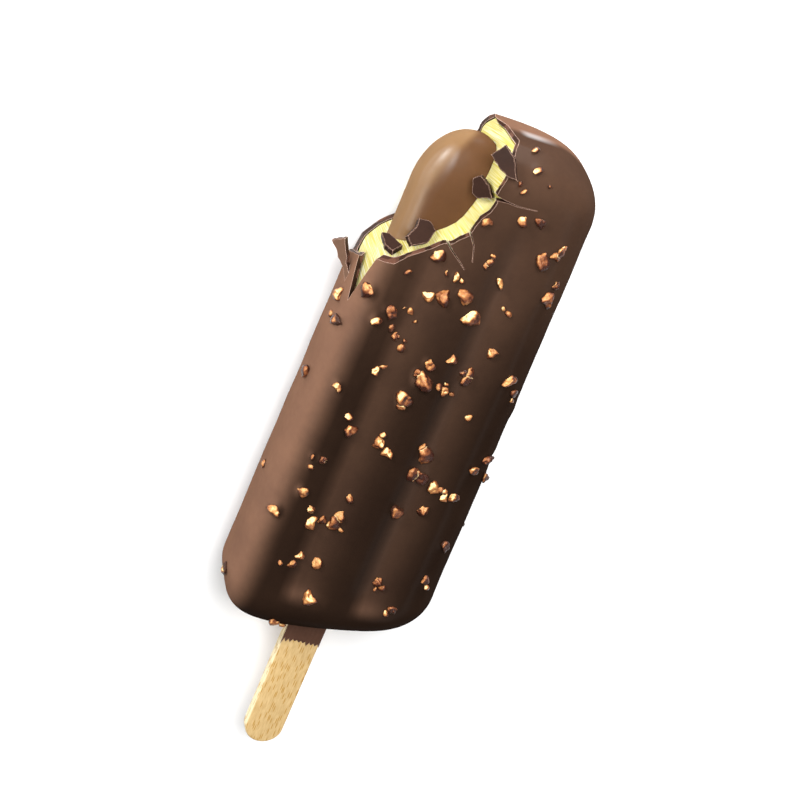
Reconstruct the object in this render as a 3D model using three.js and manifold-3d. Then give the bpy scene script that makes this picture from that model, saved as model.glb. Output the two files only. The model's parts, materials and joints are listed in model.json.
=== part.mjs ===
// Ice cream bar on a wooden stick, bitten at one top corner.
//
// The bar lies on its back. X runs across it, Y along it with the stick at -Y, and Z up.
// The origin is on the resting face, under the middle of the bar. All sizes are millimetres.

import * as THREE from 'three';
import { mergeVertices } from 'three/addons/utils/BufferGeometryUtils.js';
import Module from 'manifold-3d';

const wasm = await Module();
wasm.setup();

// ---------------------------------------------------------------- driving dimensions

const BAR = {
  width: 45,             // across the bar at the stick end
  thickness: 25,         // front crest to resting face
  length: 116.4,
  taper: 0.085,          // share of the width lost by the bitten end
  squareness: 2.8,       // exponent of the rounded section
  tipCorner: 13.4,       // plan radius of the corners at the bitten end
  stickCorner: 11.3,     // plan radius of the corners at the stick end
  tipRound: 9.9,         // rounding of the faces into the bitten end
  stickRound: 10,        // rounding of the faces into the stick end
  backCrown: 0.9,        // bulge of the back that is pressed flat where it rests
};

// Both ends run a little askew: slope across the width, the place across where the end
// keeps its length, and the distance along the bar over which the slope fades out.
const STICK_END = { slope: 0.135, pivot: -2, reach: 40 };
const TIP_END = { slope: -0.035, pivot: -14, reach: 25 };

const GROOVES = {
  pitch: 15.4,           // two grooves, half a pitch either side of the middle
  depth: 1.7,
  footStart: -51,        // the grooves run out before the stick end
  footFull: -42,
  tipFull: 30,           // and fade away towards the bitten end
  tipEnd: 54,
};

const COATING = 1.4;     // chocolate coating
const GAP = 0.3;         // clearance between neighbouring pieces

const CORE = {
  halfWidth: 9,
  halfThickness: 6.1,
  offset: -7,            // the core lies off the middle, towards the bite
  tip: 55.15,
  foot: -46,
  capLength: 12.9,
  footCap: 7,
  squareness: 2.3,
};

const STICK = { width: 8.3, thickness: 2.8, tip: -91.7, inner: 2, bevel: 0.35 };

const COLLAR = { halfWidth: 4.1, thickness: 1.0, root: -57, end: -64.4, teeth: 9, toothDepth: 0.7 };

const MID_Z = BAR.thickness / 2;
const HALF_LENGTH = BAR.length / 2;

// The break runs from the left side to the tip. Each row is one kink of it, as plan places:
// at the front face, at the level of the core, and at the back face.
const BREAK_HEIGHTS = { above: 34, front: 22, core: 17.5, low: 11.5, spur: 9.5, back: 3, below: -8 };
const BREAK_OUTSIDE = { left: -45, far: 72 };
const BREAK_ROWS = [
  { front: [-19.2, 27.6], core: [-20.6, 26.0], back: [-18.9, 20.8] },
  { front: [-17.6, 27.7], core: [-18.5, 28.2], back: [-18.3, 24.8] },
  { front: [-15.9, 28.4], core: [-15.7, 30.8], back: [-15.4, 27.7] },
  { front: [-14.1, 31.0], core: [-13.9, 31.3], back: [-12.5, 29.8] },
  { front: [-12.2, 32.5], core: [-12.6, 32.4], back: [-11.3, 32.0] },
  { front: [-10.3, 33.9], core: [-11.2, 34.0], back: [-10.0, 34.5] },
  { front: [-8.4, 35.6], core: [-9.6, 35.7], back: [-8.8, 37.0] },
  { front: [-6.9, 35.9], core: [-7.9, 37.5], back: [-7.6, 39.5] },
  { front: [-5.9, 37.4], core: [-6.5, 38.8], back: [-6.5, 42.0] },
  { front: [-4.6, 38.9], core: [-5.6, 40.6], back: [-5.5, 44.3] },
  { front: [-4.3, 40.9], core: [-4.9, 42.4], back: [-4.7, 46.3] },
  { front: [-3.9, 43.0], core: [-4.2, 44.3], back: [-4.0, 48.0] },
  { front: [-2.7, 44.9], core: [-4.0, 46.4], back: [-3.4, 49.5] },
  { front: [-2.3, 47.1], core: [-3.9, 48.2], back: [-2.9, 51.2] },
  { front: [-3.1, 48.3], core: [-3.6, 49.5], back: [-3.0, 53.0] },
  { front: [-2.8, 49.9], core: [-3.3, 51.0], back: [-2.9, 54.2] },
  { front: [-2.2, 51.9], core: [-2.9, 53.2], back: [-2.8, 55.2] },
  { front: [-1.5, 55.2], core: [-1.9, 56.0], back: [-2.7, 56.4] },
  { front: [-0.9, 58.6], core: [-0.1, 58.6], low: [-1.5, 58.6], spur: [-4.6, 58.6], back: [-2.6, 57.5] },
];
const ICE_CREAM_RECESS = 0.3;   // the filling breaks off a little below the coating's edge

// Cracks in the front of the coating: places and widths from the mouth to the tip.
const CRACKS = [
  [[-8.8, 37.0, 0.5], [-7.8, 35.9, 0.35], [-6.2, 34.4, 0.25], [-4.3, 33.0, 0.2], [-3.0, 31.9, 0.1]],
  [[-5.8, 40.6, 0.4], [-4.6, 39.3, 0.3], [-3.1, 37.1, 0.2], [-2.2, 33.9, 0.1]],
  [[-3.6, 48.0, 1.3], [-2.2, 47.9, 0.7], [-0.5, 47.8, 0.3], [1.9, 47.5, 0.2], [5.8, 47.6, 0.1]],
];
const CRACK_REACH = { top: 27, bottom: 20 };

// The split that runs down the front left edge from the break.
const SPLIT = {
  corners: [[-18.8, 28.6, 20.6], [-21.4, 27.0, 15.7], [-20.4, 16.5, 18.2]],
  direction: [-0.75, 0, 0.66],
  reach: 3,
};

// Flat pieces of coating. Each lies in a plane through its centre, which climbs by the
// two slopes along X and Y; its outline is measured in that plane.
const SHARD_THICKNESS = 1.5;
const SHARDS = [
  {
    name: 'shard_on_rim', centre: [-3.7, 54.8, 24.1], slope: [0.69, -0.47],
    outline: [[-3.3, 0.2], [-0.8, -1.2], [1.4, -2.0], [3.5, -1.8], [1.1, 1.7], [-1.7, 3.2]],
  },
  {
    name: 'shard_on_core_edge', centre: [-5.4, 47.7, 21.5], slope: [0.65, -0.17],
    outline: [[-2.2, 1.0], [-1.1, -1.7], [0.2, -2.1], [2.9, -0.7], [1.2, 1.2], [-1.0, 2.2]],
  },
  {
    name: 'shard_on_core', centre: [-13.0, 35.9, 21.6], slope: [0, -0.75],
    outline: [[-0.9, 2.5], [-1.2, 0.6], [-2.6, -1.5], [-1.4, -3.2], [1.6, -1.8], [2.9, 0.9], [1.4, 2.5]],
  },
  {
    name: 'shard_on_filling', centre: [-17.5, 31.6, 19.9], slope: [0.73, -2.3],
    outline: [[-2.6, 1.0], [-0.3, -1.4], [1.7, -1.7], [2.4, 0.7], [-1.2, 1.7]],
  },
];
const FLAP = {
  centre: [-22.8, 23.1, 14.1], slope: [0.8, 0.2], thickness: 1.2,
  outline: [[-3.9, 2.2], [-2.1, 0.6], [-1.6, -0.5], [0.3, -2.2], [2.0, -5.6], [3.0, -5.0], [1.8, -2.5],
    [0.5, -0.7], [0.3, 0.7], [-0.4, 1.8], [-1.3, 4.0]],
};

// Nut pieces on the front and sides, in clusters: how far round the section from the front
// crest, how far along the bar, how many, how far apart, and the length of the largest.
const NUT_CLUSTERS = [
  [5, 55, 3, 3.4, 1.8], [2, 51, 2, 1.6, 1.3], [8, 46, 1, 0, 2.2], [4, 45, 1, 0, 1.8],
  [-3, 43, 1, 0, 1.8], [12, 38, 1, 0, 3.0], [15, 41, 2, 1.4, 2.2], [1, 35, 3, 1.6, 1.4],
  [-9, 33, 1, 0, 2.6], [5, 31, 1, 0, 2.2], [17, 30, 2, 3.0, 2.8], [-4, 30, 3, 1.8, 1.9],
  [-1, 27, 1, 0, 2.6], [-5, 25, 2, 2.2, 2.8], [2, 23, 1, 0, 3.2], [10, 25, 2, 1.6, 1.3],
  [-14, 28, 1, 0, 1.4], [-14, 19, 3, 3.0, 2.4], [-10, 20, 3, 2.2, 1.3], [-20, 21, 1, 0, 2.6],
  [-27, 16, 1, 0, 2.3], [-24, 12, 2, 3.0, 2.6], [-11, 14, 3, 2.4, 1.8], [10, 16, 1, 0, 2.0],
  [2, 13, 1, 0, 1.8], [-2, 11, 1, 0, 2.2], [-2, 7, 2, 2.2, 3.4], [3, 6, 4, 2.0, 1.8],
  [7, 9, 3, 1.8, 2.2], [16, 11, 1, 0, 2.8], [19, 8, 2, 1.8, 1.9], [-4, 2, 2, 2.0, 3.0],
  [-12, 6, 2, 2.4, 1.6], [11, 1, 1, 0, 1.3], [-18, 0, 1, 0, 1.6], [-27, -2, 1, 0, 2.4],
  [-12, -8, 2, 2.6, 2.4], [-5, -9, 3, 2.0, 2.3], [5, -9, 2, 1.8, 3.2], [6, -14, 3, 2.4, 3.0],
  [10, -16, 2, 1.8, 2.4], [20, -8, 2, 3.0, 2.4], [22, -13, 1, 0, 2.4], [15, -17, 3, 2.2, 2.0],
  [-15, -16, 3, 2.8, 1.6], [10, -22, 1, 0, 2.2], [4, -23, 1, 0, 2.6], [-6, -23, 1, 0, 1.8],
  [-16, -24, 1, 0, 2.2], [-13, -27, 2, 2.4, 1.6], [-7, -29, 4, 2.4, 2.6], [-12, -30, 1, 0, 2.4],
  [-20, -30, 1, 0, 2.4], [-29, -25, 1, 0, 1.4], [18, -30, 1, 0, 2.2], [7, -41, 3, 2.2, 2.0],
  [17, -39, 2, 2.2, 1.8], [-7, -39, 1, 0, 2.2], [-12, -40, 3, 2.6, 1.8], [12, -47, 2, 2.2, 1.8],
  [-6, -47, 1, 0, 2.6], [-26, -48, 1, 0, 2.0], [-12, -55, 2, 2.2, 2.0],
];
const BACK_NUTS = { count: 42, right: 29, left: 38, low: -50, high: 50, smallest: 1.3, largest: 3.0 };
const NUT = {
  smallestShare: 0.45,   // the others of a cluster, as a share of its largest
  fusedFrom: 1.35,       // shorter pieces are left off the solid
  sunk: 0.21,            // how far the middle lies above the surface, as a share of its length
  radii: [0.56, 0.43, 0.38],
  roughness: 0.2,
  floorClearance: 0.1,
};
const NUT_SEED = 83;

// ---------------------------------------------------------------- small helpers

function seededRandom(seed) {
  let state = seed;
  return () => {
    state = (state * 16807) % 2147483647;
    return state / 2147483647;
  };
}

function clamp(value, low, high) {
  return Math.min(Math.max(value, low), high);
}

function smoothStep(start, full, value) {
  const t = clamp((value - start) / (full - start), 0, 1);
  return t * t * (3 - 2 * t);
}

function signedPower(value, exponent) {
  return Math.sign(value) * Math.abs(value) ** exponent;
}

function between(a, b, share) {
  return a.map((value, i) => value + (b[i] - value) * share);
}

// A closed solid through a row of rings. All rings have the same number of points and turn
// the same way; flatten gives a ring's two plane coordinates for its end cap.
function closedLoft(rings, flatten) {
  const count = rings[0].length;
  const positions = rings.flat().flatMap((point) => point.toArray());
  const index = [];
  for (let i = 0; i + 1 < rings.length; i++) {
    for (let j = 0; j < count; j++) {
      const next = (j + 1) % count;
      const a = i * count + j;
      const b = i * count + next;
      const c = (i + 1) * count + next;
      const d = (i + 1) * count + j;
      index.push(a, d, c, a, c, b);
    }
  }
  const last = (rings.length - 1) * count;
  for (const [a, b, c] of THREE.ShapeUtils.triangulateShape(rings[0].map(flatten), [])) {
    index.push(a, b, c);
  }
  for (const [a, b, c] of THREE.ShapeUtils.triangulateShape(rings.at(-1).map(flatten), [])) {
    index.push(last + a, last + c, last + b);
  }
  const geometry = new THREE.BufferGeometry();
  geometry.setAttribute('position', new THREE.Float32BufferAttribute(positions, 3));
  geometry.setIndex(index);
  return geometry;
}

const onSection = (point) => new THREE.Vector2(point.x, point.z);
const onPlan = (point) => new THREE.Vector2(point.x, point.y);

function toSolid(geometry) {
  const bare = geometry.clone();
  bare.deleteAttribute('normal');
  bare.deleteAttribute('uv');
  const merged = mergeVertices(bare, 1e-5);
  return new wasm.Manifold(new wasm.Mesh({
    numProp: 3,
    vertProperties: new Float32Array(merged.attributes.position.array),
    triVerts: new Uint32Array(merged.index.array),
  }));
}

function toGeometry(solid) {
  const mesh = solid.getMesh();
  const geometry = new THREE.BufferGeometry();
  geometry.setAttribute('position', new THREE.BufferAttribute(new Float32Array(mesh.vertProperties), 3));
  geometry.setIndex(new THREE.BufferAttribute(new Uint32Array(mesh.triVerts), 1));
  geometry.computeVertexNormals();
  return geometry;
}

// The largest body of a solid, without loose scraps.
function largestBody(solid) {
  return solid.decompose().reduce((best, body) => (body.volume() > best.volume() ? body : best));
}

// ---------------------------------------------------------------- form of the bar

// How far a rounded corner has drawn in, at a depth into its radius.
function cornerInset(radius, depth) {
  const d = clamp(depth, 0, radius);
  return radius - Math.sqrt(radius * radius - d * d);
}

function endInset(y, inset, tipRadius, stickRadius) {
  const end = HALF_LENGTH - inset;
  const tip = tipRadius - inset;
  const stick = stickRadius - inset;
  return cornerInset(tip, y - (end - tip)) + cornerInset(stick, -y - (end - stick));
}

function halfWidthAt(y, inset) {
  const share = (y + HALF_LENGTH) / BAR.length;
  const straight = (BAR.width / 2) * (1 - BAR.taper * share) - inset;
  return straight - endInset(y, inset, BAR.tipCorner, BAR.stickCorner);
}

function halfThicknessAt(y, inset) {
  return BAR.thickness / 2 - inset - endInset(y, inset, BAR.tipRound, BAR.stickRound);
}

function grooveDepth(x, y) {
  if (Math.abs(x) >= GROOVES.pitch) return 0;
  const along = smoothStep(GROOVES.footStart, GROOVES.footFull, y)
    * (1 - smoothStep(GROOVES.tipFull, GROOVES.tipEnd, y));
  return GROOVES.depth * along * 0.5 * (1 - Math.cos((2 * Math.PI * x) / GROOVES.pitch));
}

// How far the askew ends move a place along the bar.
function endSlant(x, y) {
  const atStick = clamp(1 - (HALF_LENGTH + y) / STICK_END.reach, 0, 1);
  const atTip = clamp(1 - (HALF_LENGTH - y) / TIP_END.reach, 0, 1);
  return STICK_END.slope * (x - STICK_END.pivot) * atStick + TIP_END.slope * (x - TIP_END.pivot) * atTip;
}

// A point of the bar's surface, or of the same surface moved inwards by inset.
function barPoint(y, angle, inset) {
  const power = 2 / BAR.squareness;
  const across = signedPower(Math.cos(angle), power);
  const up = signedPower(Math.sin(angle), power);
  const x = halfWidthAt(y, inset) * across;
  const crown = up < 0 ? BAR.backCrown * up ** 4 : 0;
  const height = (halfThicknessAt(y, inset) + crown) * up - grooveDepth(x, y) * up * Math.abs(up);
  const z = Math.max(height, inset - MID_Z) + MID_Z;
  return new THREE.Vector3(x, y + endSlant(x, y), z);
}

// The section's angles, listed against the distance round it from the front crest.
function sectionTable() {
  const steps = 2880;
  const power = 2 / BAR.squareness;
  const table = [{ girth: 0, angle: Math.PI / 2 }];
  let before = null;
  for (let i = 0; i <= steps; i++) {
    const angle = Math.PI / 2 - (2 * Math.PI * i) / steps;
    const x = (BAR.width / 2) * signedPower(Math.cos(angle), power);
    const z = (BAR.thickness / 2) * signedPower(Math.sin(angle), power);
    if (before) {
      const girth = table.at(-1).girth + Math.hypot(x - before.x, z - before.z);
      table.push({ girth, angle });
    }
    before = { x, z };
  }
  return table;
}

const SECTION = sectionTable();
const GIRTH = SECTION.at(-1).girth;

function sectionAngle(girth) {
  const wanted = ((girth % GIRTH) + GIRTH) % GIRTH;
  return SECTION.find((entry) => entry.girth >= wanted).angle;
}

// Stations along the bar, closer together where the ends round off.
function barStations(inset, tipSteps, middleSteps, stickSteps) {
  const end = HALF_LENGTH - inset;
  const tip = BAR.tipCorner - inset;
  const stick = BAR.stickCorner - inset;
  const stations = [];
  for (let i = 0; i < stickSteps; i++) {
    stations.push(-end + stick * (1 - Math.cos((i / stickSteps) * (Math.PI / 2))));
  }
  for (let i = 0; i < middleSteps; i++) {
    stations.push(-end + stick + ((2 * end - stick - tip) * i) / middleSteps);
  }
  for (let i = 0; i <= tipSteps; i++) {
    stations.push(end - tip + tip * Math.sin((i / tipSteps) * (Math.PI / 2)));
  }
  return stations;
}

function barSolid(inset, around, stations) {
  const angles = Array.from({ length: around }, (_, i) => sectionAngle((-GIRTH * i) / around));
  const rings = stations.map((y) => angles.map((angle) => barPoint(y, angle, inset)));
  return toSolid(closedLoft(rings, onSection));
}

// ---------------------------------------------------------------- bite, cracks and split

// Everything the bite takes away. The filling's cut is set back a little at both faces.
function biteCutter(recess) {
  const setBack = ([x, y]) => [x + recess * Math.SQRT1_2, y - recess * Math.SQRT1_2];
  const { above, front, core, low, spur, back, below } = BREAK_HEIGHTS;
  const rows = BREAK_ROWS.map((row) => ({
    front: setBack(row.front),
    core: row.core,
    low: row.low ?? between(row.core, setBack(row.back), (core - low) / (core - back)),
    spur: row.spur ?? between(row.core, setBack(row.back), (core - spur) / (core - back)),
    back: setBack(row.back),
  }));
  const levels = [[above, 'front'], [front, 'front'], [core, 'core'], [low, 'low'],
    [spur, 'spur'], [back, 'back'], [below, 'back']];
  const rings = levels.map(([z, key]) => {
    const start = rows[0][key];
    const end = rows.at(-1)[key];
    const plan = [
      [BREAK_OUTSIDE.left, start[1] - 2],
      ...rows.map((row) => row[key]),
      [end[0], BREAK_OUTSIDE.far],
      [BREAK_OUTSIDE.left, BREAK_OUTSIDE.far],
    ];
    return plan.map(([x, y]) => new THREE.Vector3(x, y, z));
  });
  return toSolid(closedLoft(rings, onPlan));
}

function crackCutter(points) {
  const sides = points.map(([x, y, width], i) => {
    const [x0, y0] = points[Math.max(i - 1, 0)];
    const [x1, y1] = points[Math.min(i + 1, points.length - 1)];
    const run = Math.hypot(x1 - x0, y1 - y0);
    const across = [(-(y1 - y0) / run) * (width / 2), ((x1 - x0) / run) * (width / 2)];
    return { right: [x - across[0], y - across[1]], left: [x + across[0], y + across[1]] };
  });
  const plan = [...sides.map((side) => side.right), ...sides.map((side) => side.left).reverse()];
  const rings = [CRACK_REACH.top, CRACK_REACH.bottom].map(
    (z) => plan.map(([x, y]) => new THREE.Vector3(x, y, z)),
  );
  return toSolid(closedLoft(rings, onPlan));
}

function splitCutter() {
  const direction = new THREE.Vector3(...SPLIT.direction).normalize();
  const corners = SPLIT.corners.map((corner) => new THREE.Vector3(...corner));
  const rings = [SPLIT.reach, -SPLIT.reach].map(
    (reach) => corners.map((corner) => corner.clone().addScaledVector(direction, reach)),
  );
  return toSolid(closedLoft(rings, onPlan));
}

// ---------------------------------------------------------------- flat pieces of coating

function plateGeometry({ centre, slope, outline, thickness = SHARD_THICKNESS }) {
  const shape = new THREE.Shape(outline.map(([x, y]) => new THREE.Vector2(x, y)));
  const geometry = new THREE.ExtrudeGeometry(shape, { depth: thickness, bevelEnabled: false });
  geometry.translate(0, 0, -thickness);
  const along = new THREE.Vector3(1, 0, slope[0]).normalize();
  const normal = new THREE.Vector3(-slope[0], -slope[1], 1).normalize();
  const across = new THREE.Vector3().crossVectors(normal, along);
  geometry.applyMatrix4(new THREE.Matrix4().makeBasis(along, across, normal));
  geometry.translate(...centre);
  return geometry;
}

function collarSolid() {
  const random = seededRandom(NUT_SEED);
  const shape = new THREE.Shape();
  shape.moveTo(COLLAR.halfWidth, COLLAR.root);
  shape.lineTo(-COLLAR.halfWidth, COLLAR.root);
  const step = (2 * COLLAR.halfWidth) / (2 * COLLAR.teeth);
  for (let i = 0; i <= 2 * COLLAR.teeth; i++) {
    const hang = i % 2 === 0 ? COLLAR.toothDepth * (0.4 + random()) : 0;
    const leftTooth = i === 0 ? 1.6 : 0;
    shape.lineTo(-COLLAR.halfWidth + i * step, COLLAR.end - hang - leftTooth);
  }
  const geometry = new THREE.ExtrudeGeometry(shape, { depth: COLLAR.thickness, bevelEnabled: false });
  geometry.translate(0, 0, MID_Z + STICK.thickness / 2 + GAP);
  return toSolid(geometry);
}

// ---------------------------------------------------------------- nuts

// Where the nut pieces lie and how long they are, largest of each cluster first.
function nutPlaces() {
  const random = seededRandom(NUT_SEED);
  const places = [];
  for (const [girth, along, count, spread, size] of NUT_CLUSTERS) {
    for (let i = 0; i < count; i++) {
      const turn = 2 * Math.PI * random();
      const reach = i === 0 ? 0 : spread * (0.7 + 0.6 * random());
      const share = i === 0 ? 1 : NUT.smallestShare + (0.9 - NUT.smallestShare) * random();
      places.push({
        girth: girth + reach * Math.cos(turn),
        along: along + reach * Math.sin(turn),
        size: size * share,
      });
    }
  }
  for (let i = 0; i < BACK_NUTS.count; i++) {
    const round = (0.618 * i + 0.15 * random()) % 1;
    const down = (0.7549 * i + 0.15 * random()) % 1;
    places.push({
      girth: BACK_NUTS.right + (GIRTH - BACK_NUTS.right - BACK_NUTS.left) * round,
      along: BACK_NUTS.low + (BACK_NUTS.high - BACK_NUTS.low) * down,
      size: BACK_NUTS.smallest + (BACK_NUTS.largest - BACK_NUTS.smallest) * random() ** 1.5,
    });
  }
  return places;
}

// The outward direction of the bar's surface at a place on it.
function surfaceNormal(y, girth) {
  const step = 0.6;
  const alongBar = barPoint(y + step, sectionAngle(girth), 0).sub(barPoint(y - step, sectionAngle(girth), 0));
  const roundBar = barPoint(y, sectionAngle(girth + step), 0).sub(barPoint(y, sectionAngle(girth - step), 0));
  return new THREE.Vector3().crossVectors(roundBar, alongBar).normalize();
}

function nutSolid({ girth, along, size }, random) {
  const geometry = mergeVertices(bareSphere());
  const position = geometry.attributes.position;
  for (let i = 0; i < position.count; i++) {
    const swell = 1 + NUT.roughness * (2 * random() - 1);
    position.setXYZ(i, position.getX(i) * swell, position.getY(i) * swell, position.getZ(i) * swell);
  }
  geometry.scale(...NUT.radii.map((radius) => radius * size));
  geometry.rotateZ(2 * Math.PI * random());
  const normal = surfaceNormal(along, girth);
  const upright = new THREE.Quaternion().setFromUnitVectors(new THREE.Vector3(0, 0, 1), normal);
  geometry.applyQuaternion(upright);
  const centre = barPoint(along, sectionAngle(girth), 0).addScaledVector(normal, NUT.sunk * size);
  geometry.translate(...centre);
  geometry.computeBoundingBox();
  if (geometry.boundingBox.min.z < NUT.floorClearance) return null;
  return toSolid(geometry);
}

function bareSphere() {
  const geometry = new THREE.IcosahedronGeometry(1, 0);
  geometry.deleteAttribute('normal');
  geometry.deleteAttribute('uv');
  return geometry;
}

// ---------------------------------------------------------------- pieces

function stickSlot() {
  const length = STICK.inner - STICK.tip + 2 * GAP;
  const slot = new THREE.BoxGeometry(STICK.width + 2 * GAP, length, STICK.thickness + 2 * GAP);
  slot.translate(0, (STICK.inner + STICK.tip) / 2, MID_Z);
  return toSolid(slot);
}

function coating() {
  const random = seededRandom(NUT_SEED);
  let solid = barSolid(0, 48, barStations(0, 8, 14, 6));
  for (const place of nutPlaces()) {
    const nut = place.size >= NUT.fusedFrom ? nutSolid(place, random) : null;
    if (nut) solid = solid.add(nut);
  }
  solid = solid.subtract(barSolid(COATING, 36, barStations(COATING, 6, 11, 5)));
  solid = solid.subtract(biteCutter(0));
  solid = solid.subtract(splitCutter());
  for (const crack of CRACKS) solid = solid.subtract(crackCutter(crack));
  solid = solid.add(toSolid(plateGeometry(FLAP)));
  solid = solid.add(collarSolid());
  solid = solid.subtract(stickSlot());
  solid = solid.subtract(barSolid(COATING, 36, barStations(COATING, 6, 11, 5)));
  return toGeometry(largestBody(solid));
}

function coreSolid(margin) {
  const around = 32;
  const power = 2 / CORE.squareness;
  const tipCap = CORE.capLength + margin;
  const footCap = CORE.footCap + margin;
  const tip = CORE.tip + margin;
  const foot = CORE.foot - margin;
  const stations = [];
  for (const turn of [-1.47, -1.2, -0.9, -0.55, 0]) {
    stations.push({ y: foot + footCap * (1 + Math.sin(turn)), share: Math.cos(turn) });
  }
  for (const share of [0.33, 0.67]) {
    stations.push({ y: foot + footCap + (tip - tipCap - foot - footCap) * share, share: 1 });
  }
  for (const turn of [0, 0.25, 0.5, 0.73, 0.94, 1.12, 1.28, 1.4, 1.49]) {
    stations.push({ y: tip - tipCap * (1 - Math.sin(turn)), share: Math.cos(turn) });
  }
  const rings = stations.map(({ y, share }) => Array.from({ length: around }, (_, i) => {
    const angle = (2 * Math.PI * i) / around;
    const x = (CORE.halfWidth + margin) * share * signedPower(Math.cos(angle), power);
    const z = (CORE.halfThickness + margin) * share * signedPower(Math.sin(angle), power);
    return new THREE.Vector3(CORE.offset + x, y, MID_Z + z);
  }));
  return toSolid(closedLoft(rings, onSection));
}

function iceCream() {
  const inset = COATING + GAP;
  const solid = barSolid(inset, 36, barStations(inset, 6, 11, 5))
    .subtract(coreSolid(GAP))
    .subtract(stickSlot())
    .subtract(biteCutter(ICE_CREAM_RECESS));
  return toGeometry(largestBody(solid));
}

function core() {
  return toGeometry(largestBody(coreSolid(0).subtract(stickSlot())));
}

function stick() {
  const radius = STICK.width / 2 - STICK.bevel;
  const shape = new THREE.Shape();
  shape.absarc(0, STICK.inner - STICK.width / 2, radius, 0, Math.PI, false);
  shape.absarc(0, STICK.tip + STICK.width / 2, radius, Math.PI, 2 * Math.PI, false);
  const geometry = new THREE.ExtrudeGeometry(shape, {
    depth: STICK.thickness - 2 * STICK.bevel,
    bevelThickness: STICK.bevel,
    bevelSize: STICK.bevel,
    bevelSegments: 1,
    curveSegments: 9,
  });
  geometry.translate(0, 0, MID_Z - STICK.thickness / 2 + STICK.bevel);
  return toGeometry(toSolid(geometry));
}

// ---------------------------------------------------------------- the bar, put together

function named(name, geometry, color, roughness) {
  const mesh = new THREE.Mesh(geometry, new THREE.MeshStandardMaterial({ color, roughness, metalness: 0 }));
  mesh.name = name;
  return mesh;
}

const bar = new THREE.Group();
bar.name = 'ice_cream_bar';
bar.add(named('coating', coating(), '#4b342a', 0.42));
bar.add(named('ice_cream', iceCream(), '#faf0a5', 0.7));
bar.add(named('core', core(), '#80603f', 0.35));
bar.add(named('stick', stick(), '#e8c68c', 0.75));
for (const shard of SHARDS) {
  bar.add(named(shard.name, toGeometry(toSolid(plateGeometry(shard))), '#4a352b', 0.4));
}

export default bar;
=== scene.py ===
import json
import math

import bmesh
import bpy
import numpy as np
from mathutils import Matrix, Vector, noise

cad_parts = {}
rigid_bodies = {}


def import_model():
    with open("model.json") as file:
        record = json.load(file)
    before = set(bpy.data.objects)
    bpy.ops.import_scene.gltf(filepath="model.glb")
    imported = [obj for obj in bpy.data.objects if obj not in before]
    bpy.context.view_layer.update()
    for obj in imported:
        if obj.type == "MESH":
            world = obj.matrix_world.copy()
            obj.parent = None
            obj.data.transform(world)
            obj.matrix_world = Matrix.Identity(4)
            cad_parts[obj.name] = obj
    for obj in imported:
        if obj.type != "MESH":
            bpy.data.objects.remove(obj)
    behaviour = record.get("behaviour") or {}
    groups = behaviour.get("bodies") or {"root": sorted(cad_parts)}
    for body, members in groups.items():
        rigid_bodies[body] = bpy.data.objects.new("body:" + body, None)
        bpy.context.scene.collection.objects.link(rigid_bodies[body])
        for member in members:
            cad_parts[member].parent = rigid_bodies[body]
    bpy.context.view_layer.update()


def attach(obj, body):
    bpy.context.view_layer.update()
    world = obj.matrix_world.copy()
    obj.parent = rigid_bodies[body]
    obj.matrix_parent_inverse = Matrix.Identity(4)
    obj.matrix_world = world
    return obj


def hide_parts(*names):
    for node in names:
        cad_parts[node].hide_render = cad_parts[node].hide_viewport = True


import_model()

# The looks of an ice cream bar on a flat wooden stick, bitten at one top corner.
# Sizes are named in millimetres, as in the part's own source, and scaled to metres
# where a mesh is made. X runs across the bar, Y along it and Z up out of its front.

MM = 0.001

# ---------------------------------------------------------------- sizes of the bar

WIDTH = 45.0
THICKNESS = 25.0
LENGTH = 116.4
TAPER = 0.085
SQUARENESS = 2.8
TIP_CORNER = 13.4
STICK_CORNER = 11.3
TIP_ROUND = 9.9
TIP_SLOPE = math.radians(50.0)
TIP_EDGE = 2.2
TIP_THINNING = 0.55
STICK_ROUND = 10.0
BACK_CROWN = 0.9
STICK_END = {"slope": 0.135, "pivot": -2.0, "reach": 40.0}
TIP_END = {"slope": -0.035, "pivot": -14.0, "reach": 25.0}
GROOVE_PITCH = 15.4
GROOVE_DEPTH = 1.7
GROOVE_FOOT = (-51.0, -42.0)
GROOVE_TIP = (30.0, 54.0)
COATING = 1.4
MID_Z = THICKNESS / 2
HALF_LENGTH = LENGTH / 2
SECTION_STEPS = 2880

# Shallow dents in the coating: where they lie, how far they reach, and how far they push it.
DENTS = [
    {"place": (-20.6, -53.8, 9.0), "reach": (3.0, 3.0, 9.0), "push": (0.55, 0.5, 0.0)},
    {"place": (9.0, -58.0, 9.0), "reach": (6.0, 6.0, 12.0), "push": (0.0, 0.55, 0.0)},
    {"place": (20.8, -9.5, 17.0), "reach": (2.5, 1.3, 4.0), "push": (-0.4, 0.0, -0.2)},
    {"place": (20.6, 2.5, 17.0), "reach": (2.5, 1.6, 4.0), "push": (0.2, 0.0, 0.1)},
]
SWELL = {"height": 0.14, "scale": 0.11, "highest": 0.04}
# How high the chocolate stands round a nut and how far it reaches, as shares of the nut's length.
MOUND = {"height": 0.1, "reach": 0.62}
# How far from either end the swells and mounds reach their full height.
RELIEF_FADE = 3.0

CORE = {
    "half_width": 9.0, "half_thickness": 6.1, "offset": -7.0, "tip": 55.15, "foot": -46.0,
    "cap": 12.9, "foot_cap": 7.0, "squareness": 2.3,
}
STICK = {"width": 8.3, "thickness": 2.8, "tip": -91.7, "inner": 2.0, "bevel": 0.5}
PORE = {"across": 0.38, "along": 3.3}
COLLAR = {
    "half_width": 4.15, "root": -56.5, "end": -64.4, "teeth": 9, "tooth_depth": 0.75, "least_hang": 0.4,
    "left_tooth": 1.6, "side_round": 0.5, "end_round": 0.7, "edge": 0.06, "film": 0.3, "swell": 0.65,
    "fade": 1.6, "lift": 0.02, "columns": 73, "rows": 22,
}
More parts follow.
